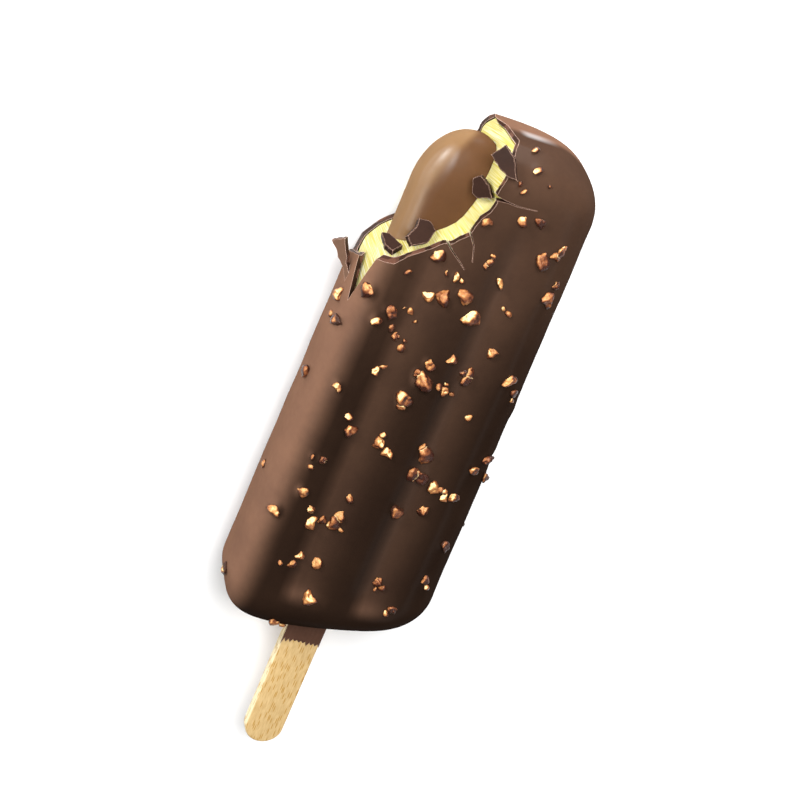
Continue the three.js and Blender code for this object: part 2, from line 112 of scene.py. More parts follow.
# The room between the stick and the coating, and between the stick and what is inside it.
STICK_ROOM = {"coating": 0.02, "inside": 0.05}

# How finely the surfaces are divided: round the bar or the core, and along its tip, middle and foot,
# and how far round its caps the core's rings run, in radians.
OUTER_MESH = {"around": 232, "steps": (34, 150, 26)}
INNER_MESH = {"around": 96, "steps": (24, 60, 12)}
CORE_MESH = {"around": 120, "tip": 46, "middle": 40, "foot": 14, "tip_turn": 1.545, "foot_turn": -1.53}
# The angles, in degrees, at which the shading of the coating and of the filling breaks.
CRISP = {"coating": 38.0, "filling": 50.0}

# ---------------------------------------------------------------- the break

BREAK_HEIGHTS = {
    "above": 34.0, "front": 22.0, "core": 17.5, "low": 11.5, "spur": 9.5, "back": 3.0, "below": -8.0,
}
BREAK_OUTSIDE = {"left": -45.0, "far": 72.0}
# The break's line on the front, beside the core and on the back, from its left end to the tip.
BREAK_ROWS = [
    ((-19.2, 27.6), (-20.6, 26.0), (-18.9, 20.8)),
    ((-17.6, 27.7), (-18.5, 28.2), (-18.3, 24.8)),
    ((-15.9, 28.4), (-15.7, 30.8), (-15.4, 27.7)),
    ((-14.1, 31.0), (-13.9, 31.3), (-12.5, 29.8)),
    ((-12.2, 32.5), (-12.6, 32.4), (-11.3, 32.0)),
    ((-10.3, 33.9), (-11.2, 34.0), (-10.0, 34.5)),
    ((-8.4, 35.6), (-9.6, 35.7), (-8.8, 37.0)),
    ((-6.9, 35.9), (-7.9, 37.5), (-7.6, 39.5)),
    ((-5.9, 37.4), (-6.5, 38.8), (-6.5, 42.0)),
    ((-4.6, 38.9), (-5.6, 40.6), (-5.5, 44.3)),
    ((-4.3, 40.9), (-4.9, 42.4), (-4.7, 46.3)),
    ((-3.9, 43.0), (-4.2, 44.3), (-4.0, 48.0)),
    ((-2.7, 44.9), (-4.0, 46.4), (-3.4, 49.5)),
    ((-2.3, 47.1), (-3.9, 48.2), (-2.9, 51.2)),
    ((-3.1, 48.3), (-3.6, 49.5), (-3.0, 53.0)),
    ((-2.8, 49.9), (-3.3, 51.0), (-2.9, 54.2)),
    ((-2.2, 51.9), (-2.9, 53.2), (-2.8, 55.2)),
    ((-1.5, 55.2), (-1.9, 56.0), (-2.7, 56.4)),
    ((-0.9, 58.6), (-0.1, 58.6), (-2.6, 57.5)),
]
# Where the last row runs between the core and the back.
BREAK_TIP = {"low": (-1.5, 58.6), "spur": (-4.6, 58.6)}
# The heights between which the broken wall is finely divided, the steps up it, the points
# from row to row, how fine its roughness is and its seed, and how rough it is in each layer.
BITE = {"heights": (-1.0, 27.0), "step": 0.6, "between": 5, "grain": 1.3, "seed": 11}
ROUGHNESS = {"coating": 0.1, "filling": 0.05}
# How far beside and below the break the front is left without nuts.
BITE_MARGIN = {"beside": 0.4, "below": 0.5}
FILLING_RECESS = 0.16
FILLING_GAP = 0.3
CORE_GAP = 0.07

# Hairline cracks in the front: places and widths from the mouth to the tip.
CRACKS = [
    [(-8.8, 37.0, 0.5), (-7.8, 35.9, 0.35), (-6.2, 34.4, 0.22), (-4.3, 33.0, 0.16), (-3.0, 31.9, 0.08)],
    [(-5.8, 40.6, 0.4), (-4.6, 39.3, 0.25), (-3.1, 37.1, 0.17), (-2.2, 33.9, 0.08)],
    [(-3.6, 48.0, 1.3), (-2.2, 47.9, 0.7), (-0.5, 47.8, 0.26), (1.9, 47.5, 0.16), (5.8, 47.6, 0.08)],
]
CRACK_REACH = (27.0, 20.0)
SPLIT = {
    "corners": [(-18.8, 28.6, 20.6), (-21.4, 27.0, 15.7), (-20.4, 16.5, 18.2)],
    "direction": (-0.75, 0.0, 0.66),
    "reach": 3.0,
}
FLAP = {
    "centre": (-22.8, 23.1, 14.1), "slope": (0.8, 0.2), "thickness": 1.2, "bevel": 0.1,
    "outline": [
        (-3.9, 2.2), (-2.1, 0.6), (-1.6, -0.5), (0.3, -2.2), (2.0, -5.6), (3.0, -5.0), (1.8, -2.5),
        (0.5, -0.7), (0.3, 0.7), (-0.4, 1.8), (-1.3, 4.0),
    ],
}
SHARD_THICKNESS = 1.5
SHARD_BEVEL = 0.12
# How far apart the points along a broken side lie, and how far they stand in or out.
RAGGED = {"spacing": 0.55, "depth": 0.09}
FLAKE_SEED = 41
SHARDS = {
    "shard_on_rim": {
        "centre": (-3.7, 54.8, 24.1), "slope": (0.69, -0.47),
        "outline": [(-3.3, 0.2), (-0.8, -1.2), (1.4, -2.0), (3.5, -1.8), (1.1, 1.7), (-1.7, 3.2)],
    },
    "shard_on_core_edge": {
        "centre": (-5.4, 47.7, 21.5), "slope": (0.65, -0.17),
        "outline": [(-2.2, 1.0), (-1.1, -1.7), (0.2, -2.1), (2.9, -0.7), (1.2, 1.2), (-1.0, 2.2)],
    },
    "shard_on_core": {
        "centre": (-13.0, 35.9, 21.6), "slope": (0.0, -0.75),
        "outline": [
            (-0.9, 2.5), (-1.2, 0.6), (-2.6, -1.5), (-1.4, -3.2), (1.6, -1.8), (2.9, 0.9), (1.4, 2.5),
        ],
    },
    "shard_on_filling": {
        "centre": (-17.5, 31.6, 19.9), "slope": (0.73, -2.3),
        "outline": [(-2.6, 1.0), (-0.3, -1.4), (1.7, -1.7), (2.4, 0.7), (-1.2, 1.7)],
    },
}

# ---------------------------------------------------------------- nuts

# How far round the section from the front crest, how far along the bar, how many,
# how far apart, and the length of the largest.
NUT_CLUSTERS = [
    (5, 55, 3, 3.4, 1.8), (2, 51, 2, 1.6, 1.3), (8, 46, 1, 0, 2.2), (4, 45, 1, 0, 1.8),
    (-3, 43, 1, 0, 1.8), (12, 38, 1, 0, 3.0), (15, 41, 2, 1.4, 2.2), (1, 35, 3, 1.6, 1.4),
    (-9, 33, 1, 0, 2.6), (5, 31, 1, 0, 2.2), (17, 30, 2, 3.0, 2.8), (-4, 30, 3, 1.8, 1.9),
    (-1, 27, 1, 0, 2.6), (-5, 25, 2, 2.2, 2.8), (2, 23, 1, 0, 3.2), (10, 25, 2, 1.6, 1.3),
    (-14, 28, 1, 0, 1.4), (-14, 19, 3, 3.0, 2.4), (-10, 20, 3, 2.2, 1.3), (-20, 21, 1, 0, 2.6),
    (-27, 16, 1, 0, 2.3), (-24, 12, 2, 3.0, 2.6), (-11, 14, 3, 2.4, 1.8), (10, 16, 1, 0, 2.0),
    (2, 13, 1, 0, 1.8), (-2, 11, 1, 0, 2.2), (-2, 7, 2, 2.2, 3.4), (3, 6, 4, 2.0, 1.8),
    (7, 9, 3, 1.8, 2.2), (16, 11, 1, 0, 2.8), (19, 8, 2, 1.8, 1.9), (-4, 2, 2, 2.0, 3.0),
    (-12, 6, 2, 2.4, 1.6), (11, 1, 1, 0, 1.3), (-18, 0, 1, 0, 1.6), (-27, -2, 1, 0, 2.4),
    (-12, -8, 2, 2.6, 2.4), (-5, -9, 3, 2.0, 2.3), (5, -9, 2, 1.8, 3.2), (6, -14, 3, 2.4, 3.0),
    (10, -16, 2, 1.8, 2.4), (20, -8, 2, 3.0, 2.4), (22, -13, 1, 0, 2.4), (15, -17, 3, 2.2, 2.0),
    (-15, -16, 3, 2.8, 1.6), (10, -22, 1, 0, 2.2), (4, -23, 1, 0, 2.6), (-6, -23, 1, 0, 1.8),
    (-16, -24, 1, 0, 2.2), (-13, -27, 2, 2.4, 1.6), (-7, -29, 4, 2.4, 2.6), (-12, -30, 1, 0, 2.4),
    (-20, -30, 1, 0, 2.4), (-29, -25, 1, 0, 1.4), (18, -30, 1, 0, 2.2), (7, -41, 3, 2.2, 2.0),
    (17, -39, 2, 2.2, 1.8), (-7, -39, 1, 0, 2.2), (-12, -40, 3, 2.6, 1.8), (12, -47, 2, 2.2, 1.8),
    (-6, -47, 1, 0, 2.6), (-26, -48, 1, 0, 2.0), (-12, -55, 2, 2.2, 2.0),
]
BACK_NUTS = {
    "count": 42, "right": 29.0, "left": 38.0, "low": -50.0, "high": 50.0, "smallest": 1.3, "largest": 3.0,
    "jitter": 0.15,
}
# Steps round and along the back that scatter its nuts evenly.
EVEN_STEPS = (0.618, 0.7549)
# How long a cluster's smaller nuts are, as a share of its largest, and how far off they lie, as
# a share of the distance apart. Each is the least, and what a draw adds to it.
NUT_SHARES = (0.45, 0.45)
NUT_REACH = (0.7, 0.6)
# A chip: how many planes chop it and how far off they lie, how far off the ball lies, how sharp
# its ridges are, how it bends, how uneven it is, and its width and height as shares of its length.
CHIP = {
    "planes": 8, "plane": (0.45, 0.45), "ball": 1.1, "sharpness": 20, "bend": 0.7, "unbent": 0.35,
    "uneven": 0.22, "grain": 2.6, "shift": 7, "width": (0.45, 0.45), "height": (0.5, 0.2),
}
# How far up the chocolate comes on a chip, and the few chips that it all but covers.
DIP = {"foot": (0.42, 0.2), "covered": 0.95, "covered_share": 0.08}
NUT_WEAR = {"depth": 0.3, "scale": 1500.0}
NUT_SHADE = (-0.3, 0.02)
NUT_LEAN = 0.6
NUT_CLEAR_OF_FLOOR = 0.1
NUT_SUNK = 0.12
NUT_GROWTH = 1.3
NUT_LARGE = 2.0
NUT_SEED = 83
NUT_KINDS = 10

# How the chocolate's painted light runs across each lobe, as shares of the lobe and of the full painted
# light.
PAINTED_LIGHT_LEFT = -12.3
PAINTED_LIGHT_PITCH = 15.0
# The painted light runs across two lobes, and stops just short of a third.
PAINTED_LIGHT_LOBES = 1.999
PAINTED_LIGHT_PROFILE = [
    (0.0, 0.0), (0.1, 0.4), (0.2, 1.0), (0.32, 0.85), (0.42, 0.58), (0.52, 0.32), (0.62, 0.12),
    (0.74, 0.0), (1.0, 0.0),
]
# Where each patch of painted light and the glint on the end wall come in or fade out, along, across or up.
PAINTED_LIGHT_AND_GLINT_SPANS = {
    "groove foot": (-50.5, -46.5), "groove end": (-48.0, -44.0), "groove tip": (26.0, 50.0),
    "tip": (-4.0, 62.0), "rim": (38.0, 54.0), "rim height": (11.5, 14.5),
    "glint foot": (11.0, 12.8), "glint top": (13.2, 15.2),
    "glint left": (0.2, 2.6), "glint right": (3.5, 9.5),
}

# ---------------------------------------------------------------- camera and light

TILT = math.radians(25.0)
SWING = math.radians(20.0)
ROLL = math.radians(23.12)
CAMERA_DISTANCE = 520.0
CAMERA_SIDE = -1.83
CAMERA_RISE = -3.57
LENS = 116.57
# How far the floor reaches each way, in metres.
FLOOR_REACH = 3.0


# ---------------------------------------------------------------- small helpers

def axes_turn(across, along):
    """The turn that takes X to across and Y to the part of along that is square to it."""
    x = Vector(across).normalized()
    y = (Vector(along) - x * x.dot(Vector(along))).normalized()
    return tuple(Matrix([x, y, x.cross(y)]).transposed().to_euler())


# Across and along the streaks of the broken ice cream, and the middle they turn about.
STREAK_AXES = axes_turn((0.683, 0.727, -0.112), (-0.666, 0.548, -0.514))
STREAK_MIDDLE = (-8.0 * MM, 36.0 * MM, 20.0 * MM)


def colour(red, green, blue):
    """A colour named by its 0 to 255 screen values, as the linear values a shader takes."""
    def linear(value):
        share = value / 255
        return share / 12.92 if share <= 0.04045 else ((share + 0.055) / 1.055) ** 2.4
    return (linear(red), linear(green), linear(blue), 1.0)


def seeded_random(seed):
    state = seed
    while True:
        state = (state * 16807) % 2147483647
        yield state / 2147483647


def drawn(draw, pair):
    """The least of a pair, and up to the other more."""
    least, more = pair
    return least + more * next(draw)


def smooth_step(start, full, value):
    t = np.clip((value - start) / (full - start), 0, 1)
    return t * t * (3 - 2 * t)


def signed_power(value, exponent):
    return np.sign(value) * np.abs(value) ** exponent


def in_scene(name, data):
    thing = bpy.data.objects.new(name, data)
    bpy.context.scene.collection.objects.link(thing)
    return thing


def stand(thing, right, up, backward, place):
    """Puts a camera or a light at a place, turned to its own three axes."""
    rows = [[right[i], up[i], backward[i], place[i]] for i in range(3)]
    thing.matrix_world = Matrix(rows + [[0, 0, 0, 1]])


def mesh_object(name, vertices, faces):
    mesh = bpy.data.meshes.new(name)
    mesh.from_pydata([tuple(v) for v in np.asarray(vertices) * MM], [], faces)
    mesh.validate()
    edit = bmesh.new()
    edit.from_mesh(mesh)
    bmesh.ops.recalc_face_normals(edit, faces=edit.faces)
    edit.to_mesh(mesh)
    edit.free()
    mesh.shade_smooth()
    return in_scene(name, mesh)


def closed_loft(name, rings):
    """A closed solid through rings of equal length, given as an array of rings x points x 3."""
    rows, around = rings.shape[:2]
    faces = []
    for i in range(rows - 1):
        for j in range(around):
            k = (j + 1) % around
            faces.append((i * around + j, i * around + k, (i + 1) * around + k, (i + 1) * around + j))
    faces.append(tuple(range(around)))
    faces.append(tuple((rows - 1) * around + j for j in reversed(range(around))))
    return mesh_object(name, rings.reshape(-1, 3), faces)


def bake(piece):
    """Works the piece's modifiers into its mesh."""
    graph = bpy.context.evaluated_depsgraph_get()
    mesh = bpy.data.meshes.new_from_object(piece.evaluated_get(graph), depsgraph=graph)
    old = piece.data
    piece.modifiers.clear()
    piece.data = mesh
    mesh.name = piece.name
    bpy.data.meshes.remove(old)


def crisp(piece, angle):
    """Smooth shading that stops at broken edges."""
    piece.data.shade_smooth()
    piece.data.set_sharp_from_angle(angle=math.radians(angle))


def carve(piece, cutter, operation="DIFFERENCE"):
    """Cuts the cutter out of the piece, or joins it, and removes the cutter."""
    cut = piece.modifiers.new("cut", "BOOLEAN")
    cut.operation = operation
    cut.solver = "MANIFOLD"
    cut.object = cutter
    bake(piece)
    bpy.data.objects.remove(cutter)
    return piece


def keep_largest(piece):
    """Drops loose scraps that a cut has left."""
    edit = bmesh.new()
    edit.from_mesh(piece.data)
    left = set(edit.verts)
    groups = []
    while left:
        group = [left.pop()]
        for vertex in group:
            near = {edge.other_vert(vertex) for edge in vertex.link_edges} & left
            left -= near
            group.extend(near)
        groups.append(group)
    groups.sort(key=len)
    for group in groups[:-1]:
        bmesh.ops.delete(edit, geom=group, context="VERTS")
    edit.to_mesh(piece.data)
    edit.free()


# ---------------------------------------------------------------- form of the bar

def corner_inset(radius, depth):
    d = np.clip(depth, 0, radius)
    return radius - np.sqrt(radius * radius - d * d)


def edged_inset(radius, edge_radius, depth):
    """A rounding that stops at a slope, runs on straight and turns into the end wall over a small edge."""
    depth = np.clip(depth, 0, radius)
    turn = radius * math.sin(TIP_SLOPE)
    straight = radius * (1 - math.cos(TIP_SLOPE)) + (depth - turn) * math.tan(TIP_SLOPE)
    edge_start = radius - edge_radius * (1 - math.sin(TIP_SLOPE))
    level = radius * (1 - math.cos(TIP_SLOPE)) + (edge_start - turn) * math.tan(TIP_SLOPE)
    level += edge_radius * math.cos(TIP_SLOPE)
    edge = level - np.sqrt(np.maximum(edge_radius ** 2 - (depth - radius + edge_radius) ** 2, 0))
    return np.where(depth < turn, corner_inset(radius, depth), np.where(depth < edge_start, straight, edge))


def end_inset(y, inset, tip_radius, stick_radius):
    end = HALF_LENGTH - inset
    tip = tip_radius - inset
    stick = stick_radius - inset
    return corner_inset(tip, y - (end - tip)) + corner_inset(stick, -y - (end - stick))


def groove_depth(x, y):
    along = smooth_step(*GROOVE_FOOT, y) * (1 - smooth_step(*GROOVE_TIP, y))
    depth = GROOVE_DEPTH * along * 0.5 * (1 - np.cos(2 * np.pi * x / GROOVE_PITCH))
    return np.where(np.abs(x) >= GROOVE_PITCH, 0, depth)


def end_slant(x, y):
    at_stick = np.clip(1 - (HALF_LENGTH + y) / STICK_END["reach"], 0, 1)
    at_tip = np.clip(1 - (HALF_LENGTH - y) / TIP_END["reach"], 0, 1)
    moved_stick = STICK_END["slope"] * (x - STICK_END["pivot"]) * at_stick
    return moved_stick + TIP_END["slope"] * (x - TIP_END["pivot"]) * at_tip


def bar_points(y, angle, inset=0.0):
    """Points of the bar's surface, or of the same surface moved inwards by inset."""
    y, angle = np.broadcast_arrays(np.asarray(y, float), np.asarray(angle, float))
    across = signed_power(np.cos(angle), 2 / SQUARENESS)
    up = signed_power(np.sin(angle), 2 / SQUARENESS)
    share = (y + HALF_LENGTH) / LENGTH
    half_width = WIDTH / 2 * (1 - TAPER * share) - inset - end_inset(y, inset, TIP_CORNER, STICK_CORNER)
    half_thickness = THICKNESS / 2 - inset - end_inset(y, inset, TIP_ROUND, STICK_ROUND)
    depth = y - (HALF_LENGTH - TIP_ROUND)
    rounded = corner_inset(TIP_ROUND - inset, depth)
    edged = edged_inset(TIP_ROUND - inset, TIP_EDGE - inset, depth)
    half_thickness = half_thickness + np.where((up > 0) | (inset > 0), rounded - edged, 0)
    x = half_width * across
    crown = np.where(up < 0, BACK_CROWN * up ** 4, 0)
    height = (half_thickness + crown) * up - groove_depth(x, y) * up * np.abs(up)
    z = np.maximum(height, inset - MID_Z) + MID_Z
    return np.stack([x, y + end_slant(x, y), z], axis=-1)


def section_table():
    """The section's angles against the distance round it from the front crest."""
    angle = np.pi / 2 - 2 * np.pi * np.arange(SECTION_STEPS + 1) / SECTION_STEPS
    x = WIDTH / 2 * signed_power(np.cos(angle), 2 / SQUARENESS)
    z = THICKNESS / 2 * signed_power(np.sin(angle), 2 / SQUARENESS)
    girth = np.concatenate([[0], np.cumsum(np.hypot(np.diff(x), np.diff(z)))])
    return girth, angle


SECTION_GIRTH, SECTION_ANGLE = section_table()
GIRTH = SECTION_GIRTH[-1]


def section_angle(girth):
    return np.interp(np.mod(girth, GIRTH), SECTION_GIRTH, SECTION_ANGLE)


def bar_stations(inset, tip_steps, middle_steps, stick_steps):
    end = HALF_LENGTH - inset
    tip = TIP_CORNER - inset
    stick = STICK_CORNER - inset
    foot = -end + stick * (1 - np.cos(np.arange(stick_steps) / stick_steps * np.pi / 2))
    middle = -end + stick + (2 * end - stick - tip) * np.arange(middle_steps) / middle_steps
    top = end - tip + tip * np.sin(np.arange(tip_steps + 1) / tip_steps * np.pi / 2)
    return np.concatenate([foot, middle, top])


def surface_normal(y, girth):
    step = 0.6
    along = bar_points(y + step, section_angle(girth)) - bar_points(y - step, section_angle(girth))
    across = bar_points(y, section_angle(girth + step)) - bar_points(y, section_angle(girth - step))
    normal = np.cross(across, along)
    return normal / np.linalg.norm(normal)


def nut_places():
    """Where the nut pieces lie and how long they are, largest of each cluster first."""
    draw = seeded_random(NUT_SEED)
    places = []
    for girth, along, count, apart, size in NUT_CLUSTERS:
        for i in range(count):
            turn = 2 * math.pi * next(draw)
            reach = 0.0 if i == 0 else apart * drawn(draw, NUT_REACH)
            share = 1.0 if i == 0 else drawn(draw, NUT_SHARES)
            places.append((girth + reach * math.cos(turn), along + reach * math.sin(turn), size * share))
    for i in range(BACK_NUTS["count"]):
        around, down = [(step * i + BACK_NUTS["jitter"] * next(draw)) % 1 for step in EVEN_STEPS]
        girth = BACK_NUTS["right"] + (GIRTH - BACK_NUTS["right"] - BACK_NUTS["left"]) * around
        along = BACK_NUTS["low"] + (BACK_NUTS["high"] - BACK_NUTS["low"]) * down
        grown = next(draw) ** 1.5
        size = BACK_NUTS["smallest"] + (BACK_NUTS["largest"] - BACK_NUTS["smallest"]) * grown
        places.append((girth, along, size))
    return places


# ---------------------------------------------------------------- node helpers

# The kinds of socket by how many numbers they take, and which sockets of a mix each kind uses.
SOCKET_KINDS = {1: "Float", 3: "Vector", 4: "Color"}
MIX_SOCKETS = {"FLOAT": (2, 3, 0), "RGBA": (6, 7, 2)}


def put(tree, socket, value):
    """Gives an input its value, or links another node's output to it."""
    if isinstance(value, bpy.types.NodeSocket):
        tree.links.new(value, socket)
    else:
        socket.default_value = value


def add(tree, kind, *inputs, **values):
    """A node of a kind: its first inputs in order, and settings and inputs (in_...) by name."""
    node = tree.nodes.new(kind)
    for name, value in values.items():
        if not name.startswith("in_"):
            setattr(node, name, value)
    for name, value in values.items():
        if name.startswith("in_"):
            put(tree, node.inputs[name[3:].replace("_", " ")], value)
    for i, value in enumerate(inputs):
        put(tree, node.inputs[i], value)
    return node


def calculate(tree, operation, *values):
    return add(tree, "ShaderNodeMath", *values, operation=operation).outputs[0]


def spread(tree, value, low, high, start=0.0, end=1.0, kind="LINEAR"):
    """Maps the range from low to high on to the range from start to end."""
    node = add(tree, "ShaderNodeMapRange", value, low, high, start, end, interpolation_type=kind)
    return node.outputs["Result"]


def rise(tree, value, low, high):
    return spread(tree, value, low, high, kind="SMOOTHSTEP")


def fall(tree, value, low, high):
    return spread(tree, value, low, high, 1.0, 0.0, "SMOOTHSTEP")


def times(tree, first, *others):
    for other in others:
        first = calculate(tree, "MULTIPLY", first, other)
    return first


def mix(tree, factor, first, second, kind="RGBA"):
    """A colour, or a number, between the first and the second."""
    node = add(tree, "ShaderNodeMix", factor, data_type=kind)
    at_first, at_second, result = MIX_SOCKETS[kind]
    put(tree, node.inputs[at_first], first)
    put(tree, node.inputs[at_second], second)
    return node.outputs[result]


def noise_value(tree, place, scale, detail, roughness, **settings):
    node = add(
        tree, "ShaderNodeTexNoise", in_Vector=place, in_Scale=scale, in_Detail=detail, in_Roughness=roughness,
        **settings)
    return node.outputs["Fac"]


def ramp(tree, value, stops):
    node = add(tree, "ShaderNodeValToRGB", value)
    elements = node.color_ramp.elements
    while len(elements) < len(stops):
        elements.new(0.5)
    for element, (position, shade) in zip(elements, stops):
        element.position = position
        element.color = shade
    return node.outputs["Color"]


def dot(tree, first, second):
    return add(tree, "ShaderNodeVectorMath", first, second, operation="DOT_PRODUCT").outputs["Value"]


def scaled(tree, vector, scale):
    return add(tree, "ShaderNodeVectorMath", vector, operation="SCALE", in_Scale=scale).outputs["Vector"]


def parts_of(tree, vector):
    return add(tree, "ShaderNodeSeparateXYZ", vector).outputs


def object_place(tree):
    return add(tree, "ShaderNodeTexCoord").outputs["Object"]


def add_sockets(tree, direction, sockets):
    """Named inputs or outputs, each given by its kind or by its usual value."""
    for label, value in sockets.items():
        kind = value if isinstance(value, str) else SOCKET_KINDS[np.size(value)]
        socket = tree.interface.new_socket(label, in_out=direction, socket_type="NodeSocket" + kind)
        if kind != value:
            socket.default_value = value


def new_group(name, inputs, outputs, kind="ShaderNodeTree"):
    """An empty node group with named sockets: its tree, what it is given, and what it gives out."""
    tree = bpy.data.node_groups.new(name, kind)
    add_sockets(tree, "INPUT", inputs)
    add_sockets(tree, "OUTPUT", outputs)
    return tree, tree.nodes.new("NodeGroupInput").outputs, tree.nodes.new("NodeGroupOutput").inputs


def use_group(tree, group, **values):
    node = add(tree, "ShaderNodeGroup", node_tree=group)
    for name, value in values.items():
        put(tree, node.inputs[name.replace("_", " ")], value)
    return node.outputs


def new_material(name, **values):
    material = bpy.data.materials.new(name)
    material.use_nodes = True
    shader = material.node_tree.nodes["Principled BSDF"]
    for label, value in values.items():
        shader.inputs[label.replace("_", " ")].default_value = value
    return material, material.node_tree, shader


# ---------------------------------------------------------------- shared effects

def edge_line_group():
    """Mask of sharp edges: where the surface turns within a small radius."""
    tree, given, out = new_group(
        "edge_line", {"Radius": 0.15 * MM, "Low": 0.05, "High": 0.3}, {"Mask": "Float"})
    rounded = add(tree, "ShaderNodeBevel", given["Radius"], samples=6).outputs["Normal"]
    sharp = add(tree, "ShaderNodeNewGeometry").outputs["Normal"]
    turned = calculate(tree, "SUBTRACT", 1.0, dot(tree, rounded, sharp))
    put(tree, out["Mask"], spread(tree, turned, given["Low"], given["High"]))
    return tree


def uneven_tone_group():
    """A tone that wanders between two colours in soft patches, with finer mottling on top."""
    tree, given, out = new_group(
        "uneven_tone",
        {"Light": (0.5, 0.5, 0.5, 1), "Dark": (0.4, 0.4, 0.4, 1), "Scale": 100.0, "Fine Scale": 900.0},
        {"Color": "Color", "Value": "Float"},
    )
    place = object_place(tree)
    broad = noise_value(tree, place, given["Scale"], 3.0, 0.5)
    fine = noise_value(tree, place, given["Fine Scale"], 2.0, 0.6)
    value = spread(tree, mix(tree, 0.3, broad, fine, "FLOAT"), 0.35, 0.65)
    put(tree, out["Color"], mix(tree, value, given["Dark"], given["Light"]))
    put(tree, out["Value"], value)
    return tree


def set_relief_group():
    """Height of a set, poured surface: slow swells with a little fine grain."""
    tree, given, out = new_group(
        "set_relief", {"Swell Scale": 150.0, "Grain Scale": 1500.0, "Grain Share": 0.2}, {"Height": "Float"},
    )
    place = object_place(tree)
    swell = noise_value(tree, place, given["Swell Scale"], 2.0, 0.45)
    grain = noise_value(tree, place, given["Grain Scale"], 4.0, 0.65)
    put(tree, out["Height"], mix(tree, given["Grain Share"], swell, grain, "FLOAT"))
    return tree


def side_light_group():
    """Mask of how far a surface faces one way."""
    tree, given, out = new_group(
        "side_light", {"Toward": (-1.0, 0.0, 0.0), "Low": 0.2, "High": 0.9}, {"Value": "Float"},
    )
    facing = dot(tree, add(tree, "ShaderNodeTexCoord").outputs["Normal"], given["Toward"])
    put(tree, out["Value"], rise(tree, facing, given["Low"], given["High"]))
    return tree


def shell_painted_light_group():
    """Painted light on the shell: darkest on the lobes, painted lighter in the grooves, at the left, at the
    tip and on the end wall.
    """
    tree, given, out = new_group(
        "shell_tone",
        {
            "Base": (0.02, 0.011, 0.007, 1), "Groove": 1.8, "Groove End": 2.0, "Side": 8.2, "Tip": 2.2,
            "Rim": 5.6,
        },
        {"Color": "Color", "Tip Mask": "Float"},
    )
    place = add(tree, "ShaderNodeTexCoord").outputs
    x, y, z = parts_of(tree, place["Object"])
    to_right, to_tip, to_front = parts_of(tree, place["Normal"])

    def where(change, value, name):
        low, high = PAINTED_LIGHT_AND_GLINT_SPANS[name]
        return change(tree, value, low * MM, high * MM)

    # Painted light in the grooves between the lobes, and a painted highlight where each groove ends at the
    # foot.
    lobe = spread(tree, x, PAINTED_LIGHT_LEFT * MM, (PAINTED_LIGHT_LEFT + 2 * PAINTED_LIGHT_PITCH) * MM, 0.0, 2.0)
    profile = [(share, (level, level, level, 1)) for share, level in PAINTED_LIGHT_PROFILE]
    groove = ramp(tree, calculate(tree, "FRACT", lobe), profile)
    in_groove = times(tree, groove, calculate(tree, "LESS_THAN", lobe, PAINTED_LIGHT_LOBES))
    past_foot = where(rise, y, "groove foot")
    near_foot = times(tree, past_foot, where(fall, y, "groove end"))
    body = times(tree, in_groove, past_foot, where(fall, y, "groove tip"))
    painted_groove_end_highlight = times(tree, in_groove, near_foot)
    # Painted light on the left side, towards the tip and low on the end wall.
    side = rise(tree, times(tree, to_right, -1.0), 0.34, 0.85)
    tip = where(rise, y, "tip")
    upright = times(tree, fall(tree, to_front, 0.1, 0.45), rise(tree, to_front, -0.6, -0.3))
    rim = times(tree, upright, where(fall, z, "rim height"), where(rise, y, "rim"))
    total = 1.0
    masks = {"Groove": body, "Groove End": painted_groove_end_highlight, "Side": side, "Tip": tip, "Rim": rim}
    for name, mask in masks.items():
        total = calculate(tree, "ADD", total, times(tree, mask, given[name]))
    put(tree, out["Color"], scaled(tree, given["Base"], total))
    by_break = times(tree, where(rise, x, "glint left"), where(fall, x, "glint right"))
    band = times(tree, where(rise, z, "glint foot"), where(fall, z, "glint top"))
    on_wall = times(tree, band, rise(tree, to_tip, 0.8, 0.9))
    put(tree, out["Tip Mask"], times(tree, by_break, on_wall))
    return tree


def brick_tone_group():
    """Patches of lighter and darker tone, as wide as the coating is thick."""
    tree, given, out = new_group(
        "brick_tone",
        {"Light": (0.1, 0.06, 0.05, 1), "Dark": (0.03, 0.02, 0.01, 1), "Scale": 600.0},
        {"Color": "Color", "Value": "Float"},
    )
    cells = add(tree, "ShaderNodeTexVoronoi", in_Vector=object_place(tree), in_Scale=given["Scale"])
    draws = add(tree, "ShaderNodeSeparateColor", cells.outputs["Color"]).outputs
    level = ramp(tree, draws[0], [(0.42, (0, 0, 0, 1)), (0.66, (0.4, 0.4, 0.4, 1)), (0.9, (1, 1, 1, 1))])
    put(tree, out["Color"], mix(tree, level, given["Dark"], given["Light"]))
    put(tree, out["Value"], draws[1])
    return tree


def streak_group():
    """Fine parallel streaks that slowly turn from one end of the broken face to the other."""
    tree, given, out = new_group(
        "broken_streaks", {"Width": 0.14 * MM, "Length": 5.0 * MM, "Turn": 17.0}, {"Value": "Float"},
    )
    turned = add(
        tree, "ShaderNodeMapping", object_place(tree), vector_type="TEXTURE",
        in_Rotation=STREAK_AXES, in_Location=STREAK_MIDDLE)
    across, along, _ = parts_of(tree, turned.outputs["Vector"])
    bent = times(tree, across, given["Turn"], along)
    fine = calculate(tree, "DIVIDE", calculate(tree, "ADD", across, bent), given["Width"])
    slow = calculate(tree, "DIVIDE", along, given["Length"])
    flat = add(tree, "ShaderNodeCombineXYZ", fine, slow).outputs[0]
    put(tree, out["Value"], noise_value(tree, flat, 1.0, 1.0, 0.5, noise_dimensions="2D"))
    return tree


